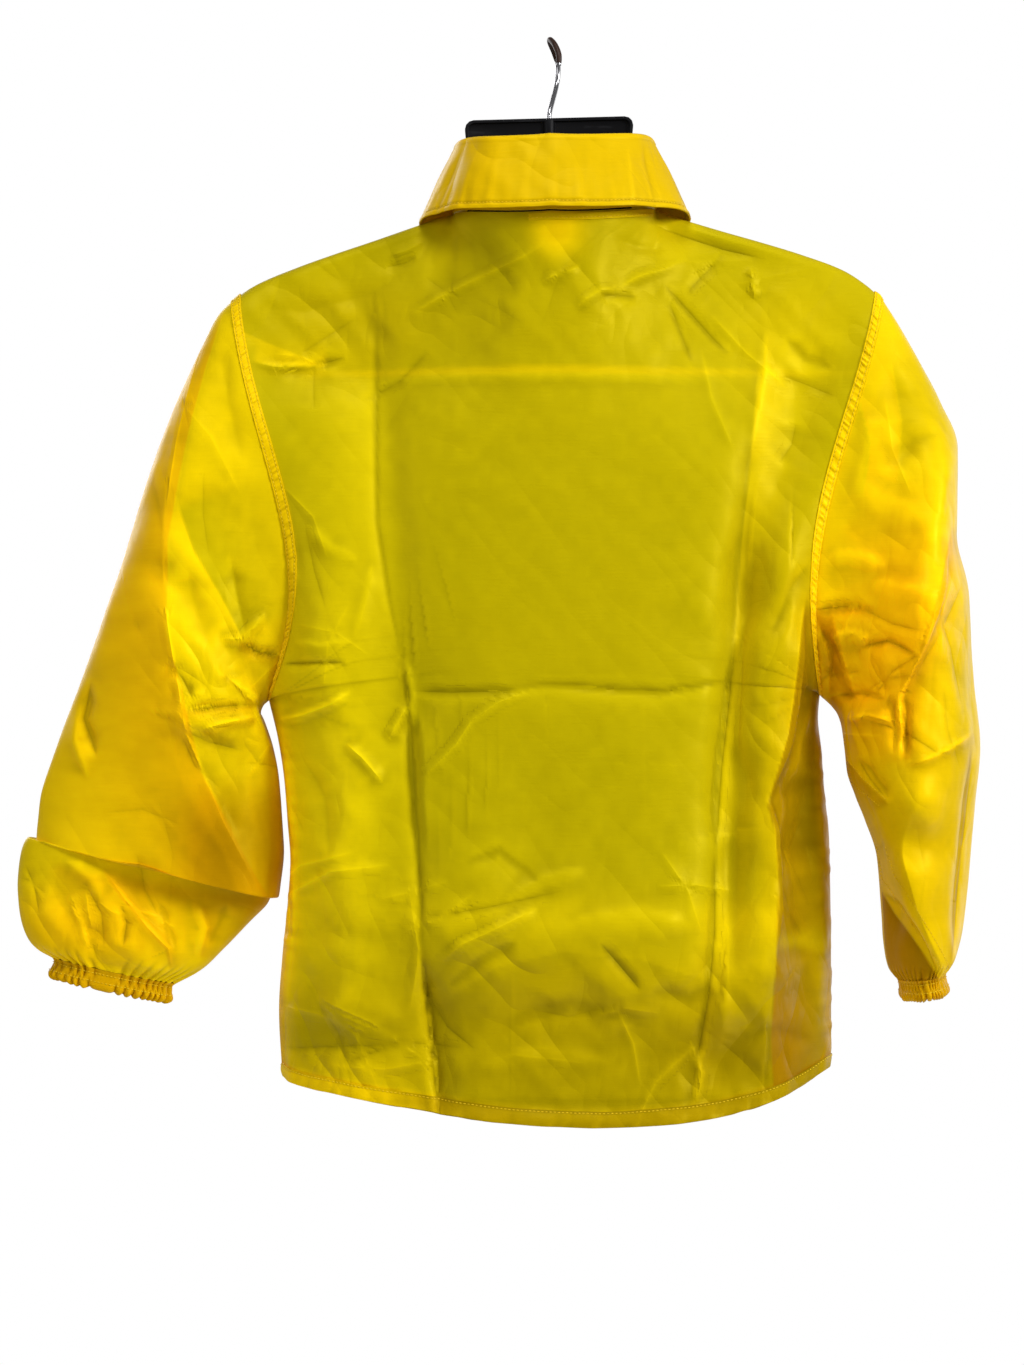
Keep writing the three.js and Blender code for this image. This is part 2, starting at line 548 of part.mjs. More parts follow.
function sleeveTube(side) {
  const { sign } = SIDES[side];
  const points = sleevePoints(side);
  const normals = gridNormals(points, true).map((line) => line.map((n) => n.multiplyScalar(-sign)));
  points[0].forEach((point, j) => {
    const turn = j / ROWS_ARMHOLE;
    const face = turn <= 1 ? "back" : "front";
    const share = (1 - Math.cos(Math.PI * (turn <= 1 ? turn : 2 - turn))) / 2;
    normals[0][j] = seamNormal(side, face, share * PIT_DOWN);
    point.x += sign * SEAM_GAP;
  });
  pullBack(points, { bottom: true });
  return wall(points, normals, CLOTH, { closed: true, flip: sign < 0 });
}

// A gathered cuff: rings that carry on below the sleeve, with waves round them
function cuff(side) {
  const { sign } = SIDES[side];
  const last = SLEEVES[side].at(-1);
  const around = CUFF.waves * CUFF.pointsPerWave;
  const middle = new THREE.Vector3((last.outerX + last.innerX) / 2, last.midY, (last.outerZ + last.innerZ) / 2);
  const across = new THREE.Vector3(last.innerX - last.outerX, 0, last.innerZ - last.outerZ);
  const half = across.length() / 2;
  across.normalize();
  const along = new THREE.Vector3(-across.z, 0, across.x).multiplyScalar(sign);
  const steps = [
    { down: 0, full: 0.25, size: 1 },
    { down: 0.35, full: 1, size: 0.965 },
    { down: 0.75, full: 1, size: 0.95 },
    { down: 1, full: 0.7, size: 0.985 },
  ];
  const points = steps.map(({ down, full, size }) =>
    Array.from({ length: around }, (_, j) => {
      const angle = (2 * Math.PI * j) / around;
      const wave = CUFF.waveHeight * full * Math.cos(CUFF.waves * angle + 0.6 * Math.sin(3 * angle));
      const [wide, deep] = [half * size - 0.4 + wave, last.back * size - 0.4 + wave];
      return middle
        .clone()
        .addScaledVector(across, -wide * Math.cos(angle))
        .addScaledVector(along, SEAM_GAP + CUFF.height * down)
        .add(new THREE.Vector3(0, deep * Math.sin(angle), 0));
    }),
  );
  const normals = points.map((line) =>
    line.map((p) => {
      const from = p.clone().sub(middle);
      const [w, d] = [from.dot(across) / half ** 2, from.y / last.back ** 2];
      return across.clone().multiplyScalar(w).add(new THREE.Vector3(0, d, 0)).normalize();
    }),
  );
  return wall(points, normals, CUFF.wallIn, { closed: true, flip: sign < 0 });
}

// A point of the neck seam and the directions there, by degrees round from the back's middle
function neckSeam(degrees) {
  const angle = THREE.MathUtils.degToRad(degrees);
  const face = Math.cos(angle) >= 0 ? "back" : "front";
  const seam = body(face, NECK_ACROSS * Math.sin(angle), 0);
  const out = new THREE.Vector3(
    Math.sin(angle) / NECK_HALF_WIDTH,
    Math.cos(angle) / NECK_DEPTH[face],
    0,
  ).normalize();
  return { seam, out, round: new THREE.Vector3(out.y, -out.x, 0) };
}

function collarRow(degrees) {
  const row = {};
  for (const name of Object.keys(COLLAR[0])) row[name] = read(COLLAR, "round", name, Math.abs(degrees));
  return row;
}

const COLLAR_END = COLLAR.at(-1).round;
const collarStations = (count) => Array.from({ length: count + 1 }, (_, k) => lerp(-COLLAR_END, COLLAR_END, k / count));

// The stand rises from the neck seam to just under the fold, with its outer side to the leaf
function collarStand() {
  const heights = [0, 0.5, 1];
  const points = heights.map((high) =>
    collarStations(COLLAR_COLUMNS).map((degrees) => {
      const { seam, out } = neckSeam(degrees);
      const row = collarRow(degrees);
      const lean = row.out * high + CLOTH / 2;
      return seam.clone().addScaledVector(out, lean).add(new THREE.Vector3(0, 0, lerp(SEAM_GAP * 4, row.up - 6.4, high)));
    }),
  );
  const normals = heights.map(() => collarStations(COLLAR_COLUMNS).map((degrees) => neckSeam(degrees).out));
  return wall(points, normals, CLOTH);
}

// The leaf starts on top of the stand, rolls over the fold and falls outside it
function collarFall() {
  const profile = [
    { over: -90, fall: 0 },
    { over: -45, fall: 0 },
    { over: 0, fall: 0 },
    { over: 45, fall: 0 },
    { over: 90, fall: 0.12 },
    { over: 90, fall: 0.4 },
    { over: 90, fall: 0.7 },
    { over: 90, fall: 1 },
  ];
  const stations = collarStations(COLLAR_COLUMNS);
  const up = new THREE.Vector3(0, 0, 1);
  const section = (degrees) => {
    const { seam, out, round } = neckSeam(degrees);
    const row = collarRow(degrees);
    const centre = seam
      .clone()
      .addScaledVector(out, row.out + COLLAR_ROLL - CLOTH / 2)
      .addScaledVector(up, row.up - COLLAR_ROLL);
    const line = profile.map(({ over, fall }) => {
      const turn = THREE.MathUtils.degToRad(over);
      return centre
        .clone()
        .addScaledVector(out, COLLAR_ROLL * Math.sin(turn) + row.spread * fall)
        .addScaledVector(up, COLLAR_ROLL * Math.cos(turn) - row.drop * fall)
        .addScaledVector(round, -Math.sign(degrees) * row.back * fall);
    });
    const foot = line[0].clone().addScaledVector(up, -1.6);
    return [foot, ...line];
  };
  const columns = stations.map(section);
  const points = columns[0].map((_, i) => columns.map((line) => line[i]));
  const normals = gridNormals(points, false);
  return wall(points, normals, CLOTH, { flip: true });
}

// A band made from the front's own points, moved out
function placketBand() {
  const edge = PLACKET_HALF_WIDTH / HALF_SPAN;
  const places = [-edge, 0, edge];
  const points = DOWN.map((down) => places.map((across) => body("front", across, down)));
  const normals = gridNormals(points, false).map((line) => line.map((n) => n.negate()));
  const lifted = points.map((line, i) => line.map((p, j) => p.clone().addScaledVector(normals[i][j], SEAM_GAP + 0.2 + CLOTH)));
  pullBack(lifted, { top: true, bottom: true });
  return wall(lifted, normals, CLOTH);
}

function turnedTo(normal) {
  return new THREE.Quaternion().setFromUnitVectors(new THREE.Vector3(0, 1, 0), normal);
}

// A snap's cap stands on the placket: a low dome with a rolled rim
function snapCap() {
  const { radius, height } = SNAPS;
  const profile = [
    [0, 0],
    [radius, 0],
    [radius, height * 0.5],
    [radius * 0.86, height * 0.92],
    [radius * 0.66, height * 0.78],
    [radius * 0.3, height],
    [0, height],
  ].map(([r, h]) => new THREE.Vector2(r, h));
  return new THREE.LatheGeometry(profile, 14);
}

// Where down the front a height lies on the middle line
function downAt(z) {
  let [low, high] = [0, 1];
  for (let step = 0; step < 30; step++) {
    const middle = (low + high) / 2;
    if (body("front", 0, middle).z > z) low = middle;
    else high = middle;
  }
  return (low + high) / 2;
}

function neckLabel() {
  const places = [-1, 0, 1].map((k) => (LABEL.midX - MID_X + (k * LABEL.width) / 2) / HALF_SPAN);
  const rows = [0, 1, 2].map((k) => (shoulderZ(0) - NECK_DROP.back - LABEL.top + (LABEL.height * k) / 2) / 690);
  const points = rows.map((down) => places.map((across) => body("back", across, down)));
  const normals = gridNormals(points, false);
  const lowered = points.map((line, i) => line.map((p, j) => p.clone().addScaledVector(normals[i][j], -CLOTH - LABEL.behind)));
  return wall(lowered, normals, LABEL.thick, { flip: true });
}

// The hanger's outline in the XZ plane, from the middle of the bar to the arm's end and back
function hangerOutline(inset) {
  const { barHalfWidth, barTop, corner, neckHalfWidth, armTop, armHeight, width } = HANGER;
  const armEdge = (x) => read(SHOULDER_LINE, "out", "z", x) - armTop - inset;
  const half = [];
  const bend = corner - inset;
  for (const degrees of [90, 60, 30, 0]) {
    const turn = THREE.MathUtils.degToRad(degrees);
    half.push([barHalfWidth - corner + bend * Math.cos(turn), barTop - corner + bend * Math.sin(turn)]);
  }
  const root = armEdge(74) + 4;
  half.push([barHalfWidth - inset, barTop - 8], [neckHalfWidth - inset, barTop - 17]);
  half.push([neckHalfWidth - inset, root + 12], [neckHalfWidth + 9 - inset, root + 2]);
  for (const x of [74, 100, 130, 160, 190, width / 2 - 4]) half.push([x - inset * 0.4, armEdge(x)]);
  half.push([width / 2 - inset, armEdge(width / 2) - 3]);
  half.push([width / 2 - inset, armEdge(width / 2) - armHeight + 3 + 2 * inset]);
  for (const x of [width / 2 - 4, 190, 160, 130, 100, 74]) half.push([x - inset * 0.4, armEdge(x) - armHeight + 2 * inset]);
  half.push([40, armEdge(74) - armHeight + 6 + 2 * inset], [0, armEdge(74) - armHeight + 8 + 2 * inset]);
  const mirrored = half.slice(0, -1).map(([x, z]) => [-x, z]).reverse();
  return [...half, ...mirrored].map(([x, z]) => new THREE.Vector2(x, z + SHOULDER_TILT * x));
}

function extruded(shape, deep) {
  const geometry = new THREE.ExtrudeGeometry(shape, { depth: deep, bevelEnabled: false });
  return geometry.translate(0, 0, -deep / 2).rotateX(Math.PI / 2);
}

const wasm = await Module();
wasm.setup();

function toSolid(geometry) {
  const bare = geometry.clone();
  bare.deleteAttribute("normal");
  bare.deleteAttribute("uv");
  const merged = mergeVertices(bare, 1e-3);
  return new wasm.Manifold(
    new wasm.Mesh({
      numProp: 3,
      vertProperties: merged.attributes.position.array,
      triVerts: new Uint32Array(merged.index.array),
    }),
  );
}

function toGeometry(solid) {
  const mesh = solid.getMesh();
  const geometry = new THREE.BufferGeometry();
  geometry.setAttribute("position", new THREE.BufferAttribute(mesh.vertProperties, 3));
  geometry.setIndex(new THREE.BufferAttribute(mesh.triVerts, 1));
  return geometry;
}

// A thin web with a deeper rim all round it, and a socket for the hook under the bar
function hangerBody() {
  const web = new THREE.Shape(hangerOutline(HANGER.rim / 2));
  const rim = new THREE.Shape(hangerOutline(0));
  rim.holes.push(new THREE.Path(hangerOutline(HANGER.rim).reverse()));
  const socket = new THREE.CylinderGeometry(5, 5, 16, 16).rotateX(Math.PI / 2);
  socket.translate(0, 0, HANGER.barTop - 1 - 8);
  const hole = new THREE.CylinderGeometry(HOOK.wire / 2 + 0.3, HOOK.wire / 2 + 0.3, 13, 12).rotateX(Math.PI / 2);
  hole.translate(0, 0, HANGER.barTop - 6 + 0.5);
  return toGeometry(
    toSolid(extruded(web, HANGER.web))
      .add(toSolid(extruded(rim, HANGER.deep)))
      .add(toSolid(socket))
      .subtract(toSolid(hole)),
  );
}

// The wire rises from the bar, swells away from the back and bends over the rail
function hookWire() {
  const { wire, bendRadius } = HOOK;
  const radius = bendRadius + wire / 2;
  const line = [
    { y: 0, z: HANGER.barTop - 11 },
    { y: 0, z: HANGER.barTop - 6 },
    { y: 0, z: HANGER.barTop },
    { y: -0.5, z: HANGER.barTop + 5 },
    { y: -6, z: HANGER.barTop + 13 },
  ];
  for (const degrees of [-28, -5, 20, 45, 70, 90, 110, 135, 160, 182]) {
    const angle = THREE.MathUtils.degToRad(degrees);
    line.push({ y: -radius * Math.cos(angle), z: radius * Math.sin(angle) - bendRadius });
  }
  const points = line.map(({ y, z }) => new THREE.Vector3(read(HOOK_LEAN, "z", "x", z), y, z));
  const path = new THREE.CatmullRomCurve3(points, false, "centripetal");
  const section = new THREE.Shape();
  section.absarc(0, 0, wire / 2, 0, 2 * Math.PI);
  return new THREE.ExtrudeGeometry(section, {
    steps: 34,
    curveSegments: 5,
    extrudePath: path,
    bevelEnabled: false,
  });
}

const cloth = new THREE.MeshStandardMaterial({ color: 0xd8b800, roughness: 0.55, side: THREE.DoubleSide });
const snapMetal = new THREE.MeshStandardMaterial({ color: 0xe0c000, roughness: 0.35 });
const labelCloth = new THREE.MeshStandardMaterial({ color: 0xf2ead0, roughness: 0.8 });
const plastic = new THREE.MeshStandardMaterial({ color: 0x101012, roughness: 0.4 });
const steel = new THREE.MeshStandardMaterial({ color: 0xc8c8cc, roughness: 0.25, metalness: 1 });

const jacket = new THREE.Group();

function addMesh(name, geometry, material) {
  const mesh = new THREE.Mesh(geometry, material);
  mesh.name = name;
  jacket.add(mesh);
  return mesh;
}

addMesh("back_panel", backPanel(), cloth);
for (const side of ["left", "right"]) {
  addMesh(`front_${side}`, frontPanel(side), cloth);
  addMesh(`sleeve_${side}`, sleeveTube(side), cloth);
  addMesh(`cuff_${side}`, cuff(side), cloth);
}
addMesh("collar_stand", collarStand(), cloth);
addMesh("collar_fall", collarFall(), cloth);
addMesh("placket", placketBand(), cloth);
addMesh("neck_label", neckLabel(), labelCloth);

for (let k = 0; k < SNAPS.count; k++) {
  const down = downAt(SNAPS.top - k * SNAPS.pitch);
  const step = 0.004;
  const across = body("front", 0.03, down).sub(body("front", -0.03, down));
  const along = body("front", 0, down + step).sub(body("front", 0, down - step));
  const normal = across.cross(along).normalize();
  if (normal.y > 0) normal.negate();
  const seat = body("front", 0, down).addScaledVector(normal, CLOTH + 2 * SEAM_GAP + 0.2);
  const cap = addMesh(`snap_${k + 1}`, snapCap(), snapMetal);
  cap.quaternion.copy(turnedTo(normal));
  cap.position.copy(seat);
}

addMesh("hanger_body", hangerBody(), plastic);
addMesh("hanger_hook", hookWire(), steel);

export default jacket;
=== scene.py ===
import math

import bmesh
import bpy
import numpy as np
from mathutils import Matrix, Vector


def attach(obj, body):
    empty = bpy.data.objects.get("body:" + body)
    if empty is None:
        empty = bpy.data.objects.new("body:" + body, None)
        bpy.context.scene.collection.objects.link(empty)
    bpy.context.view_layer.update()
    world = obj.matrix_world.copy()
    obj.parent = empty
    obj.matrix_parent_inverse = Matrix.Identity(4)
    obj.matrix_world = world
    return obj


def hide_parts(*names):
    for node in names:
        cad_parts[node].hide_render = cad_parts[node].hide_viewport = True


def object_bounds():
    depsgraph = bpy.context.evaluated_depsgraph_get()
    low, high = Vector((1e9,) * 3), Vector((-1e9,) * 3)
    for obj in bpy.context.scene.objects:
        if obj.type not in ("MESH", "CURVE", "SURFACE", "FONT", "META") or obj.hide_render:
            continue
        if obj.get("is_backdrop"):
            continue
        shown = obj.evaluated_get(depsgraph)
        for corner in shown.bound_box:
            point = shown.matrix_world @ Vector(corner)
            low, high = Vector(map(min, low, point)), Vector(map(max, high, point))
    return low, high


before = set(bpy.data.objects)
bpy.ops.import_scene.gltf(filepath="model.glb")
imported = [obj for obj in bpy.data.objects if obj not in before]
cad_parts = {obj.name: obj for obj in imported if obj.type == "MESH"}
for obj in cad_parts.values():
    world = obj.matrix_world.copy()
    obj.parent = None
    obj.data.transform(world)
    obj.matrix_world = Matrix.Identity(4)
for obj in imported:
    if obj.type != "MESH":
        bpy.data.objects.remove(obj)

bl_info = {
    "name": "Windbreaker on a hanger",
    "version": (1, 0, 0),
    "blender": (4, 5, 0),
    "location": "View3D > Sidebar > Jacket",
    "description": "A light yellow windbreaker that hangs on a plastic hanger, seen from behind",
    "category": "Object",
}

CAD_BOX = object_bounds()
MM = 0.001


def table(columns, *rows):
    """A table of numbers by column name."""
    return {name: np.array([row[i] for row in rows], float) for i, name in enumerate(columns.split())}


# The garment's form in millimetres, as in the part's source
MID_X = -4
NECK_HALF_WIDTH = 76
NECK_DEPTH = {"back": 52, "front": 66}
NECK_DROP = {"back": 10, "front": 60}
SHOULDER_TILT = -0.026
RIDGE_ROUND = 8
NECK_BLEND = 45
SHOULDER_BLEND = 190
PIT_DOWN = 0.51
ARMHOLE_SOFT = 2.4
FRONT_OVERLAP = 17
FACES = {"back": 1, "front": -1}
SIGNS = {"left": 1, "right": -1}

SHOULDER_LINE = table(
    "out z",
    (0, -123),
    (78, -128),
    (100, -135),
    (130, -144.7),
    (160, -154),
    (190, -164),
    (220, -176),
    (238, -188),
    (250, -199.5),
)

SIDES = {
    "left": dict(sign=1, tipX=238, pitX=210, pitZ=-493, hemZ=-774, sway=26, power=1.7),
    "right": dict(sign=-1, tipX=-250, pitX=-203, pitZ=-489, hemZ=-768, sway=20, power=1.5),
}
ARMHOLE_DEPTH = {"back": 38, "front": 36}

SIDE_SEAMS = {
    "left": table(
        "z x y",
        (-493, 210, 0),
        (-523, 203, 0),
        (-553, 198.5, 0),
        (-585, 196, 0),
        (-613, 194, 0),
        (-645, 196, 0),
        (-685, 200, 0),
        (-725, 202.5, 0),
        (-774, 200, 0),
    ),
    "right": table(
        "z x y",
        (-489, -203, 0),
        (-505, -202, -3),
        (-530, -205, -8),
        (-560, -207.5, -12),
        (-600, -211.5, -14),
        (-700, -213, -15),
        (-750, -213, -14),
        (-768, -211, -12),
    ),
}

HEM_LINE = table(
    "x z",
    (-212, -765),
    (-196, -777),
    (-172, -785),
    (-148, -792),
    (-113, -799),
    (-80, -802.5),
    (-40, -804),
    (5, -802.5),
    (42, -799.5),
    (82, -794),
    (112, -789.5),
    (161, -781.5),
    (190, -777),
    (204, -770),
)
FRONT_HEM_RISE = 12

SECTIONS = table(
    "z back front square roll",
    (-130, 52, 64, 2, 1),
    (-230, 54, 60, 2, 1),
    (-330, 60, 60, 2.3, 0.86),
    (-410, 66, 63, 2.6, 0.66),
    (-485, 70, 66, 2.8, 0.54),
    (-630, 77, 72, 3, 0.5),
    (-810, 80, 76, 3, 0.5),
)

# Large folds. Each runs between two places of the flat view. Its crest stands lift proud, and its
# widths are towards +X and -X.
FOLDS = {
    "back": [
        (128, -225, 96, -500, -7, 26, 16),
        (99, -480, 84, -830, -4, 30, 13),
        (60, -600, 66, -830, 4, 16, 30),
        (168, -420, 140, -830, 6, 26, 26),
        (-190, -270, -146, -420, -10, 20, 20),
        (-146, -400, -128, -680, -13, 15, 12),
        (-176, -400, -160, -720, 12, 20, 15),
        (-172, -700, -165, -830, 6, 26, 20),
        (-196, -480, -190, -800, -12, 17, 20),
        (60, -650, -120, -690, 7, 30, 34),
        (70, -720, -130, -760, -6, 26, 26),
        (150, -250, 205, -250, -4, 16, 18),
        (60, -165, -90, -165, -4, 24, 24),
    ],
    "front": [
        (120, -230, 96, -830, -9, 24, 20),
        (168, -430, 150, -830, 8, 24, 24),
        (60, -420, 52, -830, 6, 22, 26),
        (-130, -240, -104, -830, -9, 22, 24),
        (-176, -430, -158, -830, 9, 24, 24),
        (-66, -500, -56, -830, 6, 24, 22),
        (190, -300, 90, -390, -6, 26, 26),
        (-195, -300, -95, -400, -6, 26, 26),
    ],
    "sleeve_left_back": [
        (230, -470, 282, -400, -8, 14, 14),
        (214, -520, 262, -508, 7, 10, 12),
        (300, -330, 262, -460, 5, 22, 20),
        (330, -640, 296, -706, 4, 14, 14),
    ],
    "sleeve_left_front": [
        (224, -480, 290, -400, -8, 16, 16),
        (216, -530, 300, -540, -6, 16, 16),
        (300, -560, 260, -640, 6, 20, 20),
    ],
    "sleeve_right_back": [
        (-214, -446, -270, -420, 6, 20, 20),
        (-216, -492, -256, -484, -8, 20, 20),
        (-286, -300, -276, -440, 7, 18, 18),
        (-232, -560, -268, -566, 7, 16, 16),
        (-234, -592, -266, -596, -12, 18, 18),
    ],
    "sleeve_right_front": [
        (-216, -470, -285, -420, -9, 16, 16),
        (-230, -560, -290, -580, -8, 14, 14),
    ],
}

SLEEVES = {
    "left": table(
        "ring outerX outerZ innerX innerZ midY back front peak soft",
        (0, 238, -194.2, 210, -493, 0, 38, 36, 0.5, 2.4),
        (0.4, 247.5, -204.5, 211.6, -494.6, 0, 40, 37.6, 0.5, 2.4),
        (1, 259, -226, 214, -497, 0, 43, 40, 0.5, 2.3),
        (2, 281, -275, 216, -503, 0, 47, 44, 0.48, 2.2),
        (3, 304, -339, 212, -513, 0, 49, 46, 0.45, 2.1),
        (4, 327, -412, 206.5, -529, 0, 48, 46, 0.42, 1.9),
        (5, 350, -476, 202.5, -550, -2, 46, 45, 0.48, 1.7),
        (6, 370, -528, 200.5, -576, -4, 44, 44, 0.6, 1.6),
        (7, 382.5, -566, 199.5, -604, -6, 43, 44, 0.74, 1.6),
        (8, 385, -588, 202, -630, -8, 44, 44, 0.82, 1.7),
        (8.5, 386, -598, 204, -641, -8, 43, 42, 0.84, 1.8),
        (9, 392, -596, 208, -639, -12, 31, 37, 0.6, 2.2),
        (9.6, 398, -608, 213, -647, -14, 30, 36, 0.5, 2.2),
        (10.3, 400.5, -632, 226, -660, -15, 30, 34, 0.5, 2.2),
        (11, 398, -656, 243, -678, -14, 29, 31, 0.5, 2.2),
        (12, 389.5, -676, 262, -696, -12, 24, 26, 0.5, 2.2),
        (13, 374, -686, 281, -706, -11, 19, 20, 0.5, 2.2),
    ),
    "right": table(
        "ring outerX outerZ innerX innerZ midY back front peak soft",
        (0, -250, -193, -203, -489, 0, 38, 36, 0.5, 2.4),
        (1, -270, -226, -208, -493, 0, 47, 42, 0.5, 2.3),
        (2, -292, -268, -213, -498, 2, 57, 50, 0.5, 2.2),
        (3, -305, -306, -217, -504, 4, 64, 56, 0.5, 2.1),
        (4, -304, -366, -220, -514, 5, 70, 62, 0.5, 2),
        (5, -313.5, -412, -221.5, -529, 6, 73, 66, 0.5, 1.9),
        (6, -317, -480, -223, -546, 6, 75, 70, 0.5, 1.9),
        (7, -322, -530, -229, -564, 6, 75, 72, 0.56, 1.8),
        (8, -319, -568, -238, -585, 6, 74, 72, 0.7, 1.7),
        (9, -316, -602, -246.5, -610, 6, 71, 70, 0.84, 1.6),
        (10, -313, -638, -250, -644, 5, 65, 66, 0.74, 1.5),
        (11, -309, -670, -252, -677, 3, 57, 58, 0.5, 1.5),
        (12, -304, -687, -255.5, -694, 1, 49, 50, 0.34, 1.5),
        (13, -297, -696, -261.5, -702, 0, 43, 44, 0.4, 1.8),
    ),
}

COLLAR = table(
    "round up out drop spread back",
    (0, 57, -4, 50.5, 15, 0),
    (45, 56, -6, 50.5, 18, 0),
    (80, 54, -8.5, 52.5, 25.5, 0),
    (105, 50, -8, 56, 24.5, 2),
    (135, 41, -5, 64, 20, 8),
    (160, 31, -2, 66, 15, 20),
    (172, 27, -1, 66, 14, 34),
)
# Folds of the leaf: where in degrees round the neck, height and half width in degrees
COLLAR_FOLDS = ((-58, -1.8, 5), (-44, 1.2, 6), (-20, 0.7, 9), (12, 0.9, 12), (44, 1.2, 8), (60, -1.6, 5))
COLLAR_ROLL = 4.5
COLLAR_END = 172

# The camera in metres: behind the jacket, level, with the hook's place in the photo
CAMERA_AWAY, CAMERA_SIDEWAYS, CAMERA_DROP = 2.5, 0.02775, 0.4796
VIEW_HEIGHT = 1.02375

SNAPS = dict(count=6, top=-216, pitch=106)
# A cap's section from its middle to its rim: how far out, how high
SNAP_PROFILE = (
    (0, 2.3), (2, 2.2), (3.2, 1.75), (4.3, 1.7), (5.4, 2.15), (6.1, 2.1), (6.5, 1.5), (6.5, 0.6), (6.4, 0.02)
)
LABEL = dict(midX=-6, width=37, top=-137, height=25)
CUFF_HEIGHT = 15
CUFF = table("down size", (0, 1), (0.2, 0.95), (0.45, 0.97), (0.75, 1), (0.92, 0.97), (1, 0.9))

HOOK_LEAN = table(
    "z x",
    (-70, 0),
    (-57, 0),
    (-41, -3),
    (-30, -5.5),
    (-19, -7),
    (-12, -7),
    (-4, -4),
    (2, -0.5),
)
HOOK_WIRE = 3.8
HOOK_BEND = 20
BAR_TOP = -57

# Where the photo's pixels lie: their size at the mount's depth, the mount's pixel, and the depth of
# the cloth that each part's lines were picked on, in millimetres towards the camera
PIXEL = 0.75
MOUNT_PIXEL = (549, 43)
LINE_DEPTHS = {"back": 68, "sleeve_left": 34, "sleeve_left_low": 24, "sleeve_right": 60}

